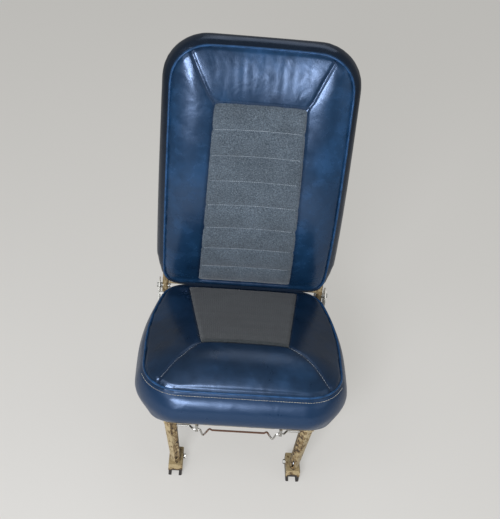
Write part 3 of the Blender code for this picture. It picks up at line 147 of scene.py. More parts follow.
# Both covers: stuffing, piping, seams, and the bed that each cloth panel is sewn into
OUTLINE_POINTS = 168
ARC_STEPS = 32
CORE_END = 0.17
FACE_RINGS = (0.05, 0.2, 0.35, 0.5, 0.63, 0.75, 0.86, 0.94)
VOXEL = 6.0 * MM
SWELL = 9.0 * MM
RIM_TURN = 3.0 * MM
WELT_RADIUS = 2.7 * MM
WELT_INWARD, WELT_UPWARD, WELT_CLEAR = 0.3, 0.15, 0.4
WELT_PULL = 0.7
INSERT_BED, BED_EDGE = 5.0 * MM, 4.0 * MM
PANEL_THICKNESS = 3.0 * MM
PANEL_SINK = 0.6 * MM
PANEL_TUCK, TUCK_WIDTH = 3.2 * MM, 7.0 * MM
PANEL_HALF, PANEL_LENGTH = 110.0 * MM, 300.0 * MM
MITRE_DRAW, MITRE_WIDTH = 2.6 * MM, 3.2 * MM
CLOTH_DRAW, CLOTH_WIDTH = 1.2 * MM, 3.0 * MM
WELT_DRAW, WELT_INSET, WELT_WIDTH = 1.6 * MM, 5.0 * MM, 3.0 * MM
RIM_CLEAR = 2.5 * MM
BOXING_EDGE = 2.0 * MM
DIRT_WIDTH = 6.0 * MM

# Where the leather is held as it is blown up: fully within the first distance, not past the second
SEAM_HOLD = (3.0 * MM, 9.0 * MM)
RIM_HOLD = (2.0 * MM, 8.0 * MM)
BASE_HOLD = (4.0 * MM, 14.0 * MM)

# Stitches as length, gap and thread radius; the shape of one as shares along it and of its radius
TOPSTITCH = (3.5 * MM, 2.5 * MM, 0.45 * MM)
SEAT_MITRE_STITCH = (3.5 * MM, 3.0 * MM, 0.4 * MM)
BACK_MITRE_STITCH = (3.0 * MM, 3.0 * MM, 0.35 * MM)
QUILT_STITCH = (3.2 * MM, 1.4 * MM, 0.4 * MM)
STITCH_SHAPE = ((-0.05, 0.35), (0.12, 0.9), (0.5, 1.0), (0.88, 0.9), (1.05, 0.35))
STITCH_SIDES = 5
SEAM_STEP = 4.0 * MM
TOPSTITCH_LIFT, MITRE_LIFT, QUILT_LIFT = 0.25 * MM, 0.1 * MM, 0.15 * MM
TOPSTITCH_OUT = 4.0 * MM
TOPSTITCH_DROP = 9.0 * MM
TOPSTITCH_REACH = 40.0 * MM
TOPSTITCH_CENTRE = 0.3

# Hog rings: one hook as (height above the back's foot, level), in mm
RING_PITCH = 18.0 * MM
RING_SHIFT = 8.0 * MM
RING_HOOK = ((-2.5, 23), (-4.5, 21), (-5, 18), (-4, 15), (-2, 12))
RING_WIRE = (4.0 * MM, 0.4 * MM, 0.9 * MM)


# ---- shapes of the two covers

def smooth_outline(corners, radii, count):
    """Points and outward normals, evenly spaced, round an outline with rounded corners."""
    dense = []
    total = len(corners)
    for i in range(total):
        before, here = Vector(corners[i - 1]), Vector(corners[i])
        after = Vector(corners[(i + 1) % total])
        half = (before - here).angle(after - here) / 2
        reach = radii[i] / tan(half)
        first = here + (before - here).normalized() * reach
        last = here + (after - here).normalized() * reach
        for step in range(ARC_STEPS + 1):
            t = step / ARC_STEPS
            near, middle, far = (1 - t) ** 2, 2 * t * (1 - t) * sin(half), t ** 2
            dense.append((first * near + here * middle + last * far) / (near + middle + far))
    ring = np.array([tuple(p) for p in dense] + [tuple(dense[0])])
    run = np.concatenate(([0.0], np.cumsum(np.hypot(*np.diff(ring, axis=0).T))))
    goals = np.arange(count) * run[-1] / count
    points = np.stack([np.interp(goals, run, ring[:, i]) for i in (0, 1)], axis=1)
    tangent = np.roll(points, -1, axis=0) - np.roll(points, 1, axis=0)
    tangent /= np.hypot(*tangent.T)[:, None]
    return points, np.stack((tangent[:, 1], -tangent[:, 0]), axis=1)


def seat_outline():
    corners = [
        (SEAT_FRONT_HALF, SEAT_FRONT), (SEAT_HALF, SEAT_WIDEST), (SEAT_REAR_HALF, SEAT_REAR),
        (-SEAT_REAR_HALF, SEAT_REAR), (-SEAT_HALF, SEAT_WIDEST), (-SEAT_FRONT_HALF, SEAT_FRONT),
    ]
    radii = [SEAT_FRONT_CORNER, SEAT_SIDE_SWEEP, SEAT_REAR_CORNER]
    return smooth_outline(corners, radii + radii[::-1], OUTLINE_POINTS)


def back_outline():
    foot = BACK_BOTTOM + BACK_FOOT_BOW
    corners = [
        (BACK_LOWER_HALF, foot), (BACK_HALF, BACK_TOP), (-BACK_HALF, BACK_TOP),
        (-BACK_LOWER_HALF, foot), (0.0, BACK_BOTTOM),
    ]
    radii = [BACK_FOOT_CORNER, BACK_TOP_CORNER, BACK_TOP_CORNER, BACK_FOOT_CORNER, BACK_FOOT_SWEEP]
    return smooth_outline(corners, radii, OUTLINE_POINTS)


def rear_dip(y):
    """The seat's rear edge is drawn down out of sight under the back."""
    return SEAT_REAR_DIP * np.clip((y - SEAT_DIP_START) / (SEAT_REAR - SEAT_DIP_START), 0.0, 1.0) ** 2


def seat_welt_level(y):
    """Height of the seat's piping, which falls a little to the rear."""
    share = np.clip((y - SEAT_FRONT) / (SEAT_REAR - SEAT_FRONT), 0.0, 1.0)
    return SEAT_WELT_FRONT + (SEAT_WELT_REAR - SEAT_WELT_FRONT) * share - rear_dip(y)


def seat_face(x, y):
    """The seat's top: a rolled front edge, a long fall to the rear, crowned from side to side."""
    welt = seat_welt_level(y)
    ahead = np.clip((SEAT_CROWN_Y - y) / (SEAT_CROWN_Y - SEAT_FRONT), 0.0, 1.0)
    behind = np.clip((y - SEAT_CROWN_Y) / (SEAT_REAR - SEAT_CROWN_Y), 0.0, 1.0)
    front = welt + (SEAT_CROWN - welt) * (1 - ahead ** SEAT_ROLL_POWER)
    rear = SEAT_CROWN + (SEAT_WELT_REAR + MM - SEAT_CROWN) * behind - rear_dip(y)
    middle = np.where(y < SEAT_CROWN_Y, front, rear)
    narrow = np.clip((y - SEAT_WIDEST) / (SEAT_REAR - SEAT_WIDEST), 0.0, 1.0) ** 2
    half = SEAT_HALF + (SEAT_REAR_HALF - SEAT_HALF) * narrow
    return welt + (middle - welt) * (1 - np.clip(np.abs(x) / half, 0.0, 1.0) ** SEAT_CROWN_POWER)


def back_profile():
    """The back's front face in side view, as (height, level) up the insert and beyond it."""
    points = [(INSERT_FOOT, INSERT_FOOT_LEVEL)]
    travel = 0.0
    while points[-1][0] < BACK_TOP + BACK_BULGE:
        share = min(travel / (QUILT_ROW * QUILT_ROWS), 1.0)
        lean = LUMBAR_LEAN + (SHOULDER_LEAN - LUMBAR_LEAN) * (1 - (1 - share) ** 2)
        height, level = points[-1]
        points.append((height + PROFILE_STEP * cos(lean), level - PROFILE_STEP * sin(lean)))
        travel += PROFILE_STEP
    return np.array(points)


PROFILE = back_profile()


def back_row_height(share):
    """Height on the front face at a share of the quilted length."""
    last = round(QUILT_ROW * QUILT_ROWS / PROFILE_STEP)
    return np.interp(share * last, np.arange(len(PROFILE)), PROFILE[:, 0])


def back_face(x, y):
    """The back's front: hollow between its bolsters, falling back to the piping at its rim."""
    level = np.interp(y, PROFILE[:, 0], PROFILE[:, 1])
    across = np.clip(np.abs(x) / BACK_HALF / HOLLOW_SHARE, 0.0, 1.0)
    hollow = BACK_HOLLOW * (1 - across ** 2) * np.clip(y / HOLLOW_RISE, 0.0, 1.0)
    side = SIDE_SETBACK * np.clip(1 - (BACK_HALF - np.abs(x)) / BOLSTER_REACH, 0.0, 1.0) ** 2
    top = TOP_SETBACK * np.clip(1 - (BACK_TOP - y) / TOP_REACH, 0.0, 1.0) ** 2
    foot = FOOT_SETBACK * np.clip(1 - (y - BACK_BOTTOM) / FOOT_ROUND, 0.0, 1.0) ** 2
    return level + BACK_HOLLOW / 2 - hollow - np.maximum(np.maximum(side, top), foot)


def seat_side(_x, y, _nx, ny):
    """The seat's boxing from the piping down, as (outward, level): it bulges, then tucks under.

    At the two front corners the cover is pulled down square over the legs.
    """
    front, rear = max(-ny, 0.0) ** 2, max(ny, 0.0) ** 2
    side = 1 - front - rear
    corner = 4 * front * side
    shares = (side, front, rear, corner)
    bulge = sum(amount * share for amount, share in zip(SEAT_BULGES, shares)) * MM
    tuck = sum(amount * share for amount, share in zip(SEAT_TUCKS, shares)) * MM
    top = float(seat_welt_level(y))
    base = SEAT_BASE - CORNER_REACH * corner
    drop = top - base
    return [
        (-RIM_TURN, top), (0.0, top - RIM_TURN),
        (0.45 * bulge, top - 0.15 * drop), (0.82 * bulge, top - 0.36 * drop),
        ((1 - 0.1 * corner) * bulge, top - 0.58 * drop),
        ((0.84 - 0.22 * corner) * bulge, top - 0.76 * drop),
        ((0.3 - 0.1 * corner) * bulge - 0.4 * tuck, top - 0.93 * drop), (-tuck, base),
    ]


def back_side(x, y, _nx, _ny):
    """The back's boxing from the piping to the rear cover."""
    front = float(back_face(x, y))
    edge = front - RIM_TURN
    bulge = BACK_BULGE * min((front - BACK_REAR) / FULL_BULGE_DEPTH, 1.0)
    depth = edge - BACK_REAR
    return [
        (-RIM_TURN, front), (0.0, edge), (0.6 * bulge, edge - 0.15 * depth), (bulge, edge - 0.5 * depth),
        (0.8 * bulge, edge - 0.8 * depth), (REAR_LIP * min(1.0, bulge / MM), BACK_REAR),
    ]


def seat_insert_place(s, t):
    """Where shares s across and t from rear to front fall on the seat's cloth."""
    half = SEAT_INSERT_REAR_HALF + (SEAT_INSERT_FRONT_HALF - SEAT_INSERT_REAR_HALF) * t
    return (2 * s - 1) * half, SEAT_INSERT_REAR + (SEAT_INSERT_FRONT - SEAT_INSERT_REAR) * t


def back_insert_place(s, t):
    """Where shares s across and t up from the foot fall on the back's cloth."""
    half = INSERT_LOWER_HALF + (INSERT_UPPER_HALF - INSERT_LOWER_HALF) * t
    return (2 * s - 1) * half, back_row_height(t)


PANEL_CORNERS = ((0, 0), (1, 0), (1, 1), (0, 1))
SEAT_CLOTH_CORNERS = [seat_insert_place(s, t) for s, t in PANEL_CORNERS]
BACK_CLOTH_CORNERS = [back_insert_place(s, t) for s, t in PANEL_CORNERS]


def in_mm(*lines):
    return [[(x * MM, y * MM) for x, y in line] for line in lines]


# The seams from the cloth's corners out to the piping
SEAT_MITRES = in_mm(
    ((-97, 89), (-108, 80), (-127, 62), (-148, 41), (-166, 20), (-180, 3), (-186, -5)),
    ((97, 89), (110, 81), (135, 65), (156, 44), (173, 23), (187, 4), (193, -2)))
BACK_MITRES = in_mm(
    ((-105, 514), (-118, 531), (-140, 573), (-167, 629)),
    ((105, 514), (116, 532), (134, 575), (160, 631)))


# ---- small tools for making pieces

def only(piece):
    """Select one piece alone and make it the active one."""
    bpy.ops.object.select_all(action="DESELECT")
    piece.select_set(True)
    bpy.context.view_layer.objects.active = piece


def apply_modifier(piece, kind, **settings):
    only(piece)
    modifier = piece.modifiers.new(kind.lower(), kind)
    for key, value in settings.items():
        setattr(modifier, key, value)
    bpy.ops.object.modifier_apply(modifier=modifier.name)


def piece_from(name, points, faces):
    mesh = bpy.data.meshes.new(name)
    mesh.from_pydata([tuple(p) for p in points], [], faces)
    mesh.update()
    piece = bpy.data.objects.new(name, mesh)
    bpy.context.collection.objects.link(piece)
    return piece


def places_of(piece):
    count = len(piece.data.vertices)
    flat = np.empty(count * 3)
    piece.data.vertices.foreach_get("co", flat)
    return flat.reshape(count, 3)


def move_to(piece, points):
    piece.data.vertices.foreach_set("co", np.ascontiguousarray(points).ravel())
    piece.data.update()


def normals_of(piece):
    flat = np.empty(len(piece.data.vertices) * 3)
    piece.data.vertices.foreach_get("normal", flat)
    return flat.reshape(-1, 3)


def keep_value(piece, name, kind, values):
    """Store a value at each point of a piece for its material to read."""
    layer = piece.data.attributes.new(name, kind, "POINT")
    field = "vector" if kind == "FLOAT_VECTOR" else "value"
    layer.data.foreach_set(field, np.ascontiguousarray(values).ravel())


def set_in_place(piece, place, material, body, smooth=True):
    """Remember the flat place for the material's pattern, then set the piece on the frame."""
    keep_value(piece, "flat_place", "FLOAT_VECTOR", places_of(piece))
    piece.data.transform(place)
    piece.data.materials.clear()
    piece.data.materials.append(material)
    if smooth:
        piece.data.shade_smooth()
    if body == "back":
        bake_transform(piece)
    else:
        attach(piece, body)


def closed_line(corners):
    """An outline's corners with the first one again at the end."""
    return np.vstack((corners, corners[:1]))


def line_distance(points, lines):
    """Distance from each (x, y) to the nearest of several lines."""
    best = np.full(len(points), 1.0)
    for line in lines:
        corners = np.array(line)
        for a, b in zip(corners, corners[1:]):
            along = b - a
            t = np.clip(((points - a) @ along) / (along @ along), 0.0, 1.0)
            best = np.minimum(best, np.linalg.norm(points - a - t[:, None] * along, axis=1))
    return best


def inside_of(points, corners):
    """True where (x, y) lies inside a convex outline."""
    ring = np.array(corners)
    middle = ring.mean(axis=0)
    result = np.ones(len(points), bool)
    for a, b in zip(ring, np.roll(ring, -1, axis=0)):
        along = b - a
        side = along[0] * (points[:, 1] - a[1]) - along[1] * (points[:, 0] - a[0])
        result &= side * (along[0] * (middle[1] - a[1]) - along[1] * (middle[0] - a[0])) > 0
    return result


def ease(value, low, high):
    """0 below low, 1 above high and smooth between them."""
    t = np.clip((value - low) / (high - low), 0.0, 1.0)
    return t * t * (3 - 2 * t)


# ---- cushions

def stuff_cushion(name, outline, face, side, base, mitres, cloth):
    """A padded cover lying flat: lofted, remeshed, blown up between its seams, then sewn down.

    The leather rises by SWELL at most; the seams, the cloth's bed and the base stay put.
    """
    points, normals = outline
    low, high = points[:, 1].min() + CORE_END, points[:, 1].max() - CORE_END
    rings = []
    for share in FACE_RINGS:
        middle = np.stack((np.zeros(len(points)), np.clip(points[:, 1], low, high)), axis=1)
        spot = middle + (points - middle) * share
        rings.append(np.column_stack((spot, face(spot[:, 0], spot[:, 1]))))
    sections = [side(*p, *n) for p, n in zip(points, normals)]
    for level in range(len(sections[0])):
        out = np.array([section[level][0] for section in sections])
        up = np.array([section[level][1] for section in sections])
        rings.append(np.column_stack((points + normals * out[:, None], up)))
    count = len(points)
    last = (len(rings) - 1) * count
    faces = [tuple(range(count)), tuple(reversed(range(last, last + count)))]
    for r in range(len(rings) - 1):
        for i in range(count):
            j = (i + 1) % count
            faces.append((r * count + j, r * count + i, (r + 1) * count + i, (r + 1) * count + j))
    piece = piece_from(name, np.vstack(rings), faces)
    apply_modifier(piece, "REMESH", mode="VOXEL", voxel_size=VOXEL)
    apply_modifier(piece, "SMOOTH", factor=0.5, iterations=4)
    co = places_of(piece)
    flat = co[:, :2]
    within = inside_of(flat, points)
    rim = line_distance(flat, [closed_line(points)])
    top = within & (rim > RIM_CLEAR) & (co[:, 2] > (base + face(co[:, 0], co[:, 1])) / 2)
    cloth_edge = line_distance(flat, [closed_line(cloth)])
    bed = inside_of(flat, cloth) & top
    depth = np.where(bed, ease(cloth_edge, 0.0, BED_EDGE), 0.0)
    co[top, 2] = (face(co[:, 0], co[:, 1]) - INSERT_BED * depth)[top]
    move_to(piece, co)
    seam = np.minimum(np.minimum(line_distance(flat, mitres), cloth_edge), rim)
    hold = np.where(top, 1 - ease(seam, *SEAM_HOLD), 1 - ease(rim, *RIM_HOLD))
    hold[bed] = 1.0
    hold = np.maximum(hold, 1 - ease(co[:, 2] - base, *BASE_HOLD))
    blow_up(piece, hold)
    apply_modifier(piece, "SUBSURF", levels=1, render_levels=1)
    sew_down(piece, face, base, points, mitres, cloth)
    return piece


def blow_up(piece, hold):
    """Cloth under pressure with nothing falling; each point's movement is capped."""
    group = piece.vertex_groups.new(name="sewn")
    for level in range(1, 11):
        chosen = np.nonzero(np.round(hold * 10) == level)[0]
        group.add([int(i) for i in chosen], level / 10, "REPLACE")
    start = places_of(piece)
    only(piece)
    cloth = piece.modifiers.new("cloth", "CLOTH")
    cloth.settings.quality = 5
    cloth.settings.mass = 0.2
    cloth.settings.tension_stiffness = 15
    cloth.settings.compression_stiffness = 15
    cloth.settings.bending_stiffness = 0.8
    cloth.settings.use_pressure = True
    cloth.settings.uniform_pressure_force = 4.0
    cloth.settings.vertex_group_mass = group.name
    cloth.settings.effector_weights.gravity = 0.0
    cloth.collision_settings.use_collision = False
    scene = bpy.context.scene
    for frame_number in range(1, 21):
        scene.frame_set(frame_number)
    bpy.ops.object.modifier_apply(modifier=cloth.name)
    scene.frame_set(1)
    moved = places_of(piece) - start
    far = np.linalg.norm(moved, axis=1)
    limit = SWELL * np.tanh(far / SWELL) / np.maximum(far, 1e-9)
    move_to(piece, start + moved * limit[:, None])
    piece.vertex_groups.clear()


def sew_down(piece, face, base, points, mitres, cloth):
    """Draw the seams into the stuffed cover and mark its boxing for the material."""
    co = places_of(piece)
    flat = co[:, :2]
    within = inside_of(flat, points)
    rim = line_distance(flat, [closed_line(points)])
    top = within & (co[:, 2] > (base + face(co[:, 0], co[:, 1])) / 2)
    seam = line_distance(flat, mitres)
    edge = line_distance(flat, [closed_line(cloth)])
    draw = MITRE_DRAW * np.exp(-(seam / MITRE_WIDTH) ** 2)
    draw += CLOTH_DRAW * np.exp(-(edge / CLOTH_WIDTH) ** 2)
    draw += WELT_DRAW * np.exp(-(np.abs(rim - WELT_INSET) / WELT_WIDTH) ** 2)
    draw = np.where(top, draw, 0.0)
    move_to(piece, co - normals_of(piece) * draw[:, None])
    keep_value(piece, "boxing", "FLOAT", np.where(within & top, 0.0, ease(rim, 0.0, BOXING_EDGE)))
    dirt = np.exp(-(np.minimum(seam, edge) / DIRT_WIDTH) ** 2)
    keep_value(piece, "seam", "FLOAT", np.where(top, dirt, 0.0))


def surface_of(piece):
    """A tree of the piece's surface, for setting thread and piping on it."""
    return BVHTree.FromObject(piece, bpy.context.evaluated_depsgraph_get())


def on_surface(tree, points, lift):
    """The nearest spots on a surface, raised off it by lift."""
    result = []
    for point in points:
        spot, normal, _face, _far = tree.find_nearest(Vector(point))
        result.append(spot + normal * lift)
    return result


def tube_along(name, points, radius, closed=False, sides=3):
    """A round cord along points, turned into a mesh."""
    curve = bpy.data.curves.new(name, "CURVE")
    curve.dimensions = "3D"
    curve.bevel_depth = radius
    curve.bevel_resolution = sides
    curve.use_fill_caps = True
    spline = curve.splines.new("POLY")
    spline.points.add(len(points) - 1)
    for knot, point in zip(spline.points, points):
        knot.co = (*point, 1.0)
    spline.use_cyclic_u = closed
    piece = bpy.data.objects.new(name, curve)
    bpy.context.collection.objects.link(piece)
    only(piece)
    bpy.ops.object.convert(target="MESH")
    piece = bpy.context.view_layer.objects.active
    piece.name = name
    return piece


def evenly(points, pitch):
    """Points at an even pitch along a line of points."""
    line = np.array([tuple(p) for p in points])
    run = np.concatenate(([0.0], np.cumsum(np.linalg.norm(np.diff(line, axis=0), axis=1))))
    goals = np.arange(0.0, run[-1], pitch)
    return np.stack([np.interp(goals, run, line[:, i]) for i in range(3)], axis=1)


def stitches(name, lines, length, gap, radius):
    """Thread laid in dashes along lines of points on a surface; each dash dips in at both ends.

    A stitch and its gap take four steps of the line, and three of them are thread.
    """
    points, faces = [], []
    sides, last = STITCH_SIDES, len(STITCH_SHAPE) - 1
    for line in lines:
        steps = evenly(line, (length + gap) / 4)
        for i in range(0, len(steps) - 4, 4):
            a, b = Vector(steps[i]), Vector(steps[i + 3])
            if (b - a).length < 1e-6:
                continue
            along = (b - a).normalized()
            across = along.orthogonal().normalized()
            up = along.cross(across)
            first = len(points)
            for share, size in STITCH_SHAPE:
                centre = a.lerp(b, share)
                for k in range(sides):
                    angle = 2 * pi * k / sides
                    points.append(centre + radius * size * (cos(angle) * across + sin(angle) * up))
            for r in range(last):
                for k in range(sides):
                    n = (k + 1) % sides
                    faces.append((first + r * sides + k, first + r * sides + n,
                                  first + (r + 1) * sides + n, first + (r + 1) * sides + k))
            faces.append(tuple(first + k for k in reversed(range(sides))))
            faces.append(tuple(first + last * sides + k for k in range(sides)))
    return piece_from(name, points, faces)


def cloth_panel(name, place_at, face, grid, lift):
    """A sewn-in cloth panel: a grid laid on the face, its rows puffed and its edge tucked in."""
    bpy.ops.mesh.primitive_grid_add(x_subdivisions=grid[0], y_subdivisions=grid[1], size=1.0)
    piece = bpy.context.view_layer.objects.active
    piece.name = name
    co = places_of(piece)
    s, t = co[:, 0] + 0.5, co[:, 1] + 0.5
    x, y = place_at(s, t)
    edge = np.minimum(np.minimum(s, 1 - s) * 2 * PANEL_HALF, np.minimum(t, 1 - t) * PANEL_LENGTH)
    tuck = PANEL_TUCK * (1 - ease(edge, 0.0, TUCK_WIDTH))
    move_to(piece, np.column_stack((x, y, face(x, y) - PANEL_SINK + lift(s, t) - tuck)))
    return piece


# ---- finishes

def shade(code):
    """An sRGB hex colour as linear values."""
    parts = [int(code[i:i + 2], 16) / 255 for i in (1, 3, 5)]
    return tuple(c / 12.92 if c <= 0.04045 else ((c + 0.055) / 1.055) ** 2.4 for c in parts) + (1.0,)


def add_node(tree, kind, inputs=None, **settings):
    """Add a node, set it up, and give its inputs values or links."""
    node = tree.nodes.new("ShaderNode" + kind)
    for key, value in settings.items():
        setattr(node, key, value)
    for key, value in (inputs or {}).items():
        if isinstance(value, bpy.types.NodeSocket):
            tree.links.new(value, node.inputs[key])
        else:
            node.inputs[key].default_value = value
    return node


def start_finish(name, roughness, metallic=0.0, **sockets):
    material = bpy.data.materials.new(name)
    material.use_nodes = True
    tree = material.node_tree
    shader = tree.nodes["Principled BSDF"]
    shader.inputs["Roughness"].default_value = roughness
    shader.inputs["Metallic"].default_value = metallic
    for key, value in sockets.items():
        shader.inputs[key.replace("_", " ")].default_value = value
    return material, tree, shader


def feed(tree, shader, **values):
    """Link values to the shader's inputs of these names."""
    for key, value in values.items():
        tree.links.new(value, shader.inputs[key.replace("_", " ")])


def stored(tree, name, output="Fac"):
    """A value that keep_value left on the piece; flat_place is where a point lay before it was set."""
    return add_node(tree, "Attribute", attribute_name=name).outputs[output]


def own_place(tree):
    return add_node(tree, "TexCoord").outputs["Object"]


def coordinate(tree, vector, axis):
    return add_node(tree, "SeparateXYZ", {0: vector}).outputs[axis]


def noise(tree, place, scale, detail, roughness=0.5, **more):
    """Cloudy noise; scale is one over the size of its patches in metres."""
    inputs = {"Vector": place, "Scale": scale, "Detail": detail, "Roughness": roughness, **more}
    return add_node(tree, "TexNoise", inputs).outputs["Fac"]


def spread(tree, value, low=0.0, high=1.0, to_low=0.0, to_high=1.0):
    """A value taken from between low and high to between new ends, and held there."""
    inputs = {"Value": value, "From Min": low, "From Max": high, "To Min": to_low, "To Max": to_high}
    return add_node(tree, "MapRange", inputs).outputs["Result"]


def maths(tree, operation, *values):
    return add_node(tree, "Math", dict(enumerate(values)), operation=operation).outputs[0]


def mix(tree, share, first, second):
    """One colour giving way to another as share rises; each is a hex code or a link."""
    first, second = (shade(c) if isinstance(c, str) else c for c in (first, second))
    return add_node(tree, "Mix", {0: share, 6: first, 7: second}, data_type="RGBA").outputs[2]


def bump(tree, height, strength, distance, **more):
    inputs = {"Height": height, "Strength": strength, "Distance": distance, **more}
    return add_node(tree, "Bump", inputs).outputs["Normal"]


def blue_leather(name, dark, middle, pale, side, sewn=True, base_gloss=0.4):
    """Pigmented hide, waxed and rubbed: a deep even blue, cloudy over a hand's width, finely pebbled.

    Rubbing has left it a little paler in broad soft patches, and dirt has gathered along the seams.
    """
    wax = {"Specular_IOR_Level": 0.85, "Specular_Tint": shade("#B0C8EE")}
    material, tree, shader = start_finish(name, base_gloss, **wax)
    place = stored(tree, "flat_place", "Vector") if sewn else own_place(tree)
    cloud = noise(tree, place, 1 / 0.13, 3.0)
    smear = noise(tree, place, 1 / 0.035, 5.0, 0.6)
    mixed = maths(tree, "ADD", cloud, maths(tree, "MULTIPLY", smear, 0.45))
    base = mix(tree, spread(tree, mixed, 0.52, 0.93), dark, middle)
    base = mix(tree, spread(tree, mixed, 0.76, 1.0, to_high=0.6), base, pale)
    base = mix(tree, maths(tree, "MULTIPLY", stored(tree, "seam"), 0.5), base, "#0E1C30")
    # The boxing takes the side colour. On the back cushion that colour is far darker than the face: painted
    # shade on boxing that faces away from the lamps.
    base = mix(tree, stored(tree, "boxing"), base, side)
    worn = spread(tree, smear, 0.3, 0.7, base_gloss - 0.03, base_gloss + 0.07)
    # Hide pebble, coarser than on real hide so that it shows, under soft creases 50 mm apart
    pebble = add_node(tree, "TexVoronoi", {"Vector": place, "Scale": 1 / 0.0018}).outputs["Distance"]
    crease = noise(tree, place, 1 / 0.05, 2.0, Distortion=0.6)
    pebbled = bump(tree, pebble, 0.14, 0.0004)
    creased = bump(tree, crease, 0.22, 0.004, Normal=pebbled)
    feed(tree, shader, Base_Color=base, Roughness=worn, Normal=creased)
    return material


def piping_leather(name, shade_start, full_shade_from):
    """The same hide drawn tight over cord: rubbed along its run, with painted shade that turns it near-black
    where it runs into the crevice between seat and back.
    """
    wax = {"Specular_IOR_Level": 0.6, "Specular_Tint": shade("#A8C4EE")}
    material, tree, shader = start_finish(name, 0.36, **wax)
    place = stored(tree, "flat_place", "Vector")
    wear = spread(tree, noise(tree, place, 1 / 0.02, 5.0, 0.7), 0.35, 0.65)
    # Painted shade: towards the end of the run that lies in the crevice between seat and back, the colour
    # goes near-black.
    dirt = spread(tree, coordinate(tree, place, "Y"), shade_start, full_shade_from)
    base = mix(tree, dirt, mix(tree, wear, "#16324F", "#274B72"), "#0A131E")
    feed(tree, shader, Base_Color=base, Roughness=spread(tree, dirt, to_low=0.34, to_high=0.9))
    return material


def woven_cloth(name, low, high, fleck, thread):
    """Heathered plain weave: yarns of several greys, matt, with a soft fuzz and no shine."""
    fuzz = {"Sheen_Weight": 0.25, "Sheen_Roughness": 0.5, "Specular_IOR_Level": 0.2}
    material, tree, shader = start_finish(name, 0.93, **fuzz)
    place = stored(tree, "flat_place", "Vector")
    yarn = spread(tree, noise(tree, place, 1 / thread, 3.0, 0.75), 0.36, 0.64)
    dots = spread(tree, noise(tree, place, 1.3 / thread, 1.0), 0.6, 0.7, to_high=0.5)
    soil = spread(tree, noise(tree, place, 1 / 0.07, 4.0), 0.3, 0.7, 0.82, 1.12)
    base = mix(tree, dots, mix(tree, yarn, low, high), fleck)
    base = add_node(tree, "VectorMath", {0: base, "Scale": soil}, operation="SCALE").outputs["Vector"]
    # Warp and weft at the yarn's spacing
    bands = {"Vector": place, "Scale": 0.16 / thread, "Distortion": 1.0}
    warp = add_node(tree, "TexWave", bands, bands_direction="X").outputs["Fac"]
    weft = add_node(tree, "TexWave", bands, bands_direction="Y").outputs["Fac"]
    weave = maths(tree, "ADD", maths(tree, "MULTIPLY", warp, weft), yarn)
    feed(tree, shader, Base_Color=base, Normal=bump(tree, weave, 0.5, 0.0006))
    return material


def spun_thread(name, colour, darker):
    """Twisted polyester sewing thread: pale, slightly fuzzy, dirty here and there."""
    material, tree, shader = start_finish(name, 0.75, Sheen_Weight=0.2)
    place = stored(tree, "flat_place", "Vector")
    dirt = spread(tree, noise(tree, place, 1 / 0.03, 4.0), 0.35, 0.65)
    feed(tree, shader, Base_Color=mix(tree, dirt, colour, darker))
    return material


def worn_enamel(name, paint, stain, bare, chip_low, chip_high):
    """Brushed-on cream enamel, chipped to brown primer and rust, then to dark steel.

    Faces that look towards the seat's middle are knocked more.
    """
    material, tree, shader = start_finish(name, 0.42)
    coords = add_node(tree, "TexCoord").outputs
    place = coords["Object"]
    inward = maths(tree, "MULTIPLY", coordinate(tree, place, "X"), coordinate(tree, coords["Normal"], "X"))
    knocked = spread(tree, inward, 0.02, -0.08, to_high=0.09)
    blotch = maths(tree, "ADD", noise(tree, place, 1 / 0.009, 8.0, 0.66), knocked)
    grime = spread(tree, noise(tree, place, 1 / 0.05, 5.0), 0.4, 0.7, to_high=0.5)
    worn = spread(tree, blotch, chip_low, chip_low + 0.05)
    chip = spread(tree, blotch, chip_high, chip_high + 0.04)
    base = mix(tree, worn, mix(tree, grime, paint, stain), stain)
    rough = spread(tree, worn, to_low=0.38, to_high=0.75)
    sunk = bump(tree, maths(tree, "MULTIPLY", worn, -1.0), 0.4, 0.0004)
    feed(tree, shader, Base_Color=mix(tree, chip, base, bare), Roughness=rough, Normal=sunk)
    return material


def cast_foot_enamel():
    """The same enamel on a rough casting, going in blotches to brown and then dark steel, more so towards
    the bottom and most of all on the claws.
    """
    material, tree, shader = start_finish("cast_foot_darker_below", 0.5)
    place = own_place(tree)
    # Darker towards the bottom: more blotches below 24 mm, so the claws come out darkest.
    low = spread(tree, coordinate(tree, place, "Z"), 0.024, 0.012, to_high=0.4)
    blotch = maths(tree, "ADD", noise(tree, place, 1 / 0.012, 8.0, 0.7), low)
    base = mix(tree, spread(tree, blotch, 0.54, 0.6), "#A3906A", "#66502F")
    base = mix(tree, spread(tree, blotch, 0.64, 0.7), base, "#2B2724")
    grit = bump(tree, noise(tree, place, 1 / 0.002, 3.0), 0.4, 0.0005)
    feed(tree, shader, Base_Color=base, Normal=grit)
    return material


def old_steel(name, bright, brown, share, roughness=0.38):
    """Plated or plain mild steel gone dull, with rust bloom over a share of it."""
    material, tree, shader = start_finish(name, roughness, 1.0)
    bloom = noise(tree, own_place(tree), 1 / 0.008, 7.0, 0.7)
    rust = spread(tree, bloom, 0.72 - share * 0.4, 0.8 - share * 0.4)
    metal = spread(tree, rust, to_low=1.0, to_high=0.15)
    rough = spread(tree, rust, to_low=roughness, to_high=0.85)
    feed(tree, shader, Base_Color=mix(tree, rust, bright, brown), Metallic=metal, Roughness=rough)
    return material


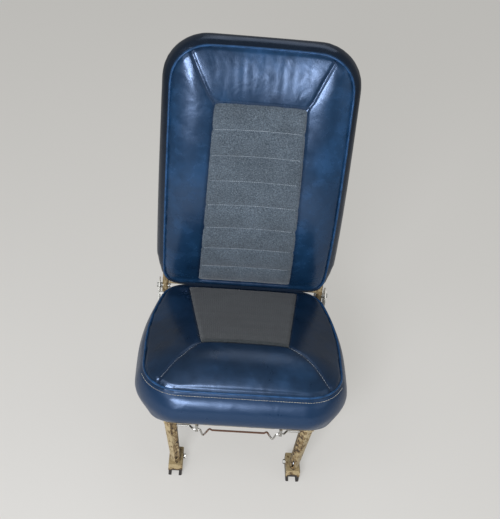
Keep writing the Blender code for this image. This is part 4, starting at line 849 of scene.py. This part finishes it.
def bail_wire():
    """Zinc-plated spring wire: the plating is left at the ends, and the grip's run has rusted brown."""
    material, tree, shader = start_finish("part_rusted_wire", 0.4, 1.0)
    place = own_place(tree)
    across = maths(tree, "ABSOLUTE", coordinate(tree, place, "X"))
    middle = spread(tree, across, 0.085, 0.06, to_high=0.35)
    bloom = maths(tree, "ADD", noise(tree, place, 1 / 0.01, 6.0, 0.7), middle)
    rust = spread(tree, bloom, 0.6, 0.68)
    metal = spread(tree, rust, to_low=1.0, to_high=0.1)
    rough = spread(tree, rust, to_low=0.35, to_high=0.85)
    feed(tree, shader, Base_Color=mix(tree, rust, "#B9B7B0", "#5E4130"), Metallic=metal, Roughness=rough)
    return material


def dress(nodes, material):
    """Give CAD nodes a finish in all their material slots."""
    for name in nodes:
        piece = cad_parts[name]
        if not piece.material_slots:
            piece.data.materials.append(material)
        for slot in piece.material_slots:
            slot.material = material


# ---- the seat cushion

face_blue = blue_leather("waxed_blue_hide_seat", "#091929", "#11283F", "#1B3753", "#112943", base_gloss=0.29)
# The back's side colour #08111B is painted shade on its boxing.
back_blue = blue_leather("waxed_blue_hide_back", "#0C2238", "#163450", "#24486E", "#08111B", base_gloss=0.24)
# Both pipings darken towards the seat's rear and the back's foot: painted shade in the crevice between them.
seat_piping_blue = piping_leather("rubbed_blue_seat_piping", 0.335, 0.375)
back_piping_blue = piping_leather("rubbed_blue_back_piping", 0.042, 0.03)
quilt_cloth = woven_cloth("heathered_grey_tweed", "#323B43", "#5F6A73", "#8A9398", 0.0028)
seat_weave = woven_cloth("dark_grey_tweed", "#212526", "#3A3E3F", "#5A5E5F", 0.0024)
pale_thread = spun_thread("off_white_thread", "#D9D3C0", "#A79F8C")
quilt_grey = spun_thread("blue_grey_thread", "#B6C0C6", "#8D98A1")
navy_thread = spun_thread("soiled_navy_thread", "#4A6284", "#22344E")
grey_thread = spun_thread("soiled_thread", "#A9B0B5", "#56626F")
ring_steel = old_steel("galvanised_ring_wire", "#C9C9C4", "#7A6A55", 0.1, 0.4)

seat_rim, seat_rim_normals = seat_outline()
seat_cover = stuff_cushion(
    "seat_cover", (seat_rim, seat_rim_normals), seat_face, seat_side, SEAT_BASE,
    SEAT_MITRES, SEAT_CLOTH_CORNERS)
seat_skin = surface_of(seat_cover)


def seat_cloth_lift(s, t):
    """Rows sewn across the seat; the sitter has pressed them almost flat."""
    rows = t * SEAT_CLOTH_ROWS - 0.12 * np.sin(pi * s)
    return SEAT_CLOTH_PUFF * np.abs(np.sin(pi * rows)) ** 0.7


seat_cloth_piece = cloth_panel(
    "seat_cloth_panel", seat_insert_place, seat_face, SEAT_CLOTH_GRID, seat_cloth_lift)


def welt_line(tree, rim, normals, level):
    """The piping's run along a rim, drawn in until it lies against the cover."""
    spot = rim - normals * WELT_RADIUS * WELT_INWARD
    run = np.column_stack((spot, level(rim) + WELT_RADIUS * WELT_UPWARD))
    near = np.array([tuple(p) for p in on_surface(tree, run, WELT_CLEAR * WELT_RADIUS)])
    run += WELT_PULL * (near - run)
    for _ in range(3):
        run = (np.roll(run, 1, axis=0) + 2 * run + np.roll(run, -1, axis=0)) / 4
    return run


def seam_thread(tree, rim, normals, level, drop, reach):
    """A line on the front boxing, a set way below the piping, as far back as reach."""
    spots = np.column_stack((rim + normals * TOPSTITCH_OUT, level(rim) - drop))
    ahead = spots[rim[:, 1] < reach]
    order = np.argsort(np.arctan2(ahead[:, 0], TOPSTITCH_CENTRE - ahead[:, 1]))
    return on_surface(tree, ahead[order], TOPSTITCH_LIFT)


def on_cover(tree, lines, face, lift):
    """Seam lines laid on the padded face of a cover."""
    result = []
    for line in lines:
        flat = evenly([(*p, 0.0) for p in line], SEAM_STEP)
        spots = [(x, y, float(face(x, y))) for x, y, _z in flat]
        result.append(on_surface(tree, spots, lift))
    return result


def seat_level(rim):
    return seat_welt_level(rim[:, 1])


seat_welt_run = welt_line(seat_skin, seat_rim, seat_rim_normals, seat_level)
seat_piping = tube_along("seat_piping", seat_welt_run, WELT_RADIUS, True)
topstitch_run = seam_thread(
    seat_skin, seat_rim, seat_rim_normals, seat_level, TOPSTITCH_DROP, TOPSTITCH_REACH)
seat_topstitch = stitches("seat_topstitch", [topstitch_run], *TOPSTITCH)
seat_mitre_runs = on_cover(seat_skin, SEAT_MITRES, seat_face, MITRE_LIFT)
seat_mitre_thread = stitches("seat_mitre_thread", seat_mitre_runs, *SEAT_MITRE_STITCH)

# ---- the back cushion

back_rim, back_rim_normals = back_outline()
back_cover = stuff_cushion(
    "back_cover", (back_rim, back_rim_normals), back_face, back_side, BACK_REAR,
    BACK_MITRES, BACK_CLOTH_CORNERS)
back_skin = surface_of(back_cover)


def quilt_lift(s, t):
    """Rolls across the back, each puffed between its rows of thread and slack here and there."""
    row = np.clip((t + quilt_sag(s)) * QUILT_ROWS, 0.0, QUILT_ROWS)
    puff = np.abs(np.sin(pi * row)) ** 0.6
    slack = 1 + 0.25 * np.sin(23 * s + 9 * t) * np.sin(7 * s + 31 * t)
    side = ease(np.minimum(s, 1 - s), 0.0, 0.1)
    return QUILT_PUFF * puff * slack * (0.5 + 0.5 * side)


def quilt_sag(s):
    """The thread rows arch up a little in the middle and rise to the right."""
    return -0.004 * np.sin(pi * s) - 0.004 * s


back_cloth_piece = cloth_panel("back_cloth_panel", back_insert_place, back_face, QUILT_GRID, quilt_lift)
quilt_skin = surface_of(back_cloth_piece)
quilt_lines = []
for row in range(1, QUILT_ROWS):
    across = np.linspace(0.025, 0.975, 80)
    up = row / QUILT_ROWS - quilt_sag(across)
    x, y = back_insert_place(across, up)
    quilt_lines.append(on_surface(quilt_skin, np.column_stack((x, y, back_face(x, y))), QUILT_LIFT))


def back_level(rim):
    return back_face(rim[:, 0], rim[:, 1])


back_welt_run = welt_line(back_skin, back_rim, back_rim_normals, back_level)
back_piping = tube_along("back_piping", back_welt_run, WELT_RADIUS, True)
quilt_thread = stitches("quilt_thread", quilt_lines, *QUILT_STITCH)
back_mitre_runs = on_cover(back_skin, BACK_MITRES, back_face, MITRE_LIFT)
back_mitre_thread = stitches("back_mitre_thread", back_mitre_runs, *BACK_MITRE_STITCH)


def hog_ring_lines():
    """Short upright runs under the back's lower edge, where rings pinch the cover onto its rod."""
    lines = []
    for i in range(-5, 6):
        x = i * RING_PITCH - RING_SHIFT
        lines.append([(x, BACK_BOTTOM + low * MM, level * MM) for low, level in RING_HOOK])
    return lines


hog_rings = stitches("hog_rings", hog_ring_lines(), *RING_WIRE)

# ---- set both cushions on the frame

for panel in (seat_cloth_piece, back_cloth_piece):
    apply_modifier(panel, "SOLIDIFY", thickness=PANEL_THICKNESS, offset=-1.0)

set_in_place(seat_cover, SEAT_PLACE, face_blue, "frame")
set_in_place(seat_cloth_piece, SEAT_PLACE, seat_weave, "frame")
set_in_place(seat_piping, SEAT_PLACE, seat_piping_blue, "frame")
set_in_place(seat_topstitch, SEAT_PLACE, pale_thread, "frame")
set_in_place(seat_mitre_thread, SEAT_PLACE, grey_thread, "frame")
set_in_place(back_cover, BACK_PLACE, back_blue, "back")
set_in_place(back_cloth_piece, BACK_PLACE, quilt_cloth, "back")
set_in_place(back_piping, BACK_PLACE, back_piping_blue, "back")
set_in_place(quilt_thread, BACK_PLACE, quilt_grey, "back")
set_in_place(back_mitre_thread, BACK_PLACE, navy_thread, "back")
set_in_place(hog_rings, BACK_PLACE, ring_steel, "back")

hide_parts("seat_cushion")
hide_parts("seat_insert")
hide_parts("seat_welt")
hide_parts("back_cushion")
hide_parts("back_insert")
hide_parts("back_welt")

# ---- finishes of the frame, its hardware and the rear cover

cream = worn_enamel("chipped_cream_enamel", "#AC9A74", "#75603F", "#33271D", 0.52, 0.625)
bracket_white = worn_enamel("bracket_enamel", "#E2E0D6", "#B9AE98", "#6A6258", 0.7, 0.76)
foot = cast_foot_enamel()
plated = old_steel("dull_zinc_plate", "#A9A8A2", "#6B5138", 0.35)
ground = old_steel("ground_pin_steel", "#C4C6C8", "#6B5138", 0.1, 0.22)
rolled = old_steel("turned_roller_steel", "#8E9092", "#4E3D2E", 0.3, 0.3)
spring = old_steel("black_spring_steel", "#4A4643", "#5E4130", 0.5, 0.5)
bronze = old_steel("oiled_bronze", "#A87C45", "#5B452B", 0.3, 0.35)
wire = bail_wire()
vinyl = blue_leather("navy_vinyl_rear", "#121B2B", "#1D2A40", "#2C3C57", "#1D2A40", sewn=False)


def both_sides(*kinds):
    return [f"{kind}_{side}" for kind in kinds for side in ("left", "right")]


dress(["front_cross_channel", "rear_cross_tube", "back_hoop", "back_lower_rod"], cream)
dress(both_sides("side_rail", "front_leg", "rear_leg"), cream)
dress(both_sides("front_foot", "rear_foot"), foot)
dress(both_sides("hinge_bracket"), bracket_white)
dress(both_sides("front_axle_bolt", "rear_axle_bolt", "spring_seat", "bail_hanger"), plated)
dress(both_sides("hinge_bolt", "hinge_nut", "hinge_spacer"), plated)
dress(both_sides("pin_bush"), bronze)
dress(both_sides("lock_pin"), ground)
dress(both_sides("front_roller", "rear_roller"), rolled)
dress(both_sides("pin_spring"), spring)
dress([f"seat_spring_{i}" for i in range(1, 5)] + [f"back_spring_{i}" for i in range(1, 4)], spring)
dress(["release_bail"], wire)
dress(["back_rear_cover"], vinyl)

# ---- floor, light and camera

FLOOR_HALF = 9.0
floor_drop = cad_box[0][2]
bpy.ops.mesh.primitive_plane_add(size=2 * FLOOR_HALF, location=(0, 0, floor_drop))
ground_sheet = bpy.context.view_layer.objects.active
ground_sheet.name = "studio_floor"
ground_sheet.data.transform(ground_sheet.matrix_world)
ground_sheet.matrix_world = Matrix.Identity(4)
paper, paper_tree, paper_shader = start_finish("pale_studio_paper", 0.9, Specular_IOR_Level=0.2)
paper_shader.inputs["Base Color"].default_value = shade("#E4E1DB")
paper_glow = add_node(paper_tree, "Emission", {"Color": shade("#DAD8D3")})
paper_path = add_node(paper_tree, "LightPath")
paper_share = maths(paper_tree, "MULTIPLY", paper_path.outputs["Is Camera Ray"], 0.6)
paper_ends = {0: paper_share, 1: paper_shader.outputs[0], 2: paper_glow.outputs[0]}
paper_mix = add_node(paper_tree, "MixShader", paper_ends)
paper_tree.links.new(paper_mix.outputs[0], paper_tree.nodes["Material Output"].inputs["Surface"])
ground_sheet.data.materials.append(paper)

scene = bpy.context.scene
scene.view_settings.view_transform = "Standard"
studio = bpy.data.worlds.new("studio_air")
scene.world = studio
studio.use_nodes = True
air = studio.node_tree
path = add_node(air, "LightPath")
glossy = maths(air, "MULTIPLY", path.outputs["Is Glossy Ray"], 0.12)
seen = maths(air, "MAXIMUM", path.outputs["Is Camera Ray"], glossy)
lit = add_node(air, "Background", {"Color": shade("#E8ECF2"), "Strength": 0.24})
drop = add_node(air, "Background", {"Color": shade("#ECEAE6"), "Strength": 1.0})
both = add_node(air, "MixShader", {0: seen, 1: lit.outputs[0], 2: drop.outputs[0]})
air.links.new(both.outputs[0], air.nodes["World Output"].inputs["Surface"])


def soft_lamp(name, place, aim, size, watts, colour="#FFFFFF"):
    lamp = bpy.data.lights.new(name, "AREA")
    lamp.shape = "RECTANGLE"
    lamp.size, lamp.size_y = size
    lamp.energy = watts
    lamp.color = shade(colour)[:3]
    holder = bpy.data.objects.new(name, lamp)
    bpy.context.collection.objects.link(holder)
    holder.location = place
    holder.rotation_euler = (Vector(aim) - Vector(place)).to_track_quat("-Z", "Y").to_euler()


soft_lamp("low_front_light", (-0.55, -2.3, 1.45), (0, 0.1, 0.5), (0.75, 0.6), 66, "#F4F7FF")
soft_lamp("window_light", (-1.5, -1.3, 2.3), (0, 0, 0.45), (1.3, 1.3), 12, "#F4F7FF")
soft_lamp("room_light", (2.2, -1.8, 1.7), (0, 0, 0.4), (1.8, 1.8), 7)
soft_lamp("top_light", (0.3, 0.9, 2.9), (0, 0.1, 0.6), (1.4, 1.4), 8)

# Solved from the photograph's outline and kept as plain values
CAMERA_PLACE = Vector((-100.5 * MM, -1398.0 * MM - SEAT_SHIFT, 1526.8 * MM))
yaw, pitch, roll = radians(-3.5434), radians(32.987), radians(5.8459)
ahead = Vector((-sin(yaw) * cos(pitch), cos(yaw) * cos(pitch), -sin(pitch)))
level = Vector((cos(yaw), sin(yaw), 0.0))
upright = level.cross(ahead)
right_way = cos(roll) * level + sin(roll) * upright
up_way = cos(roll) * upright - sin(roll) * level
lens = bpy.data.cameras.new("view_camera")
lens.sensor_width = 36.0
lens.lens = 58.97
camera = bpy.data.objects.new("view_camera", lens)
bpy.context.collection.objects.link(camera)
turn = Matrix((right_way, up_way, -ahead)).transposed().to_4x4()
camera.matrix_world = Matrix.Translation(CAMERA_PLACE) @ turn
scene.camera = camera
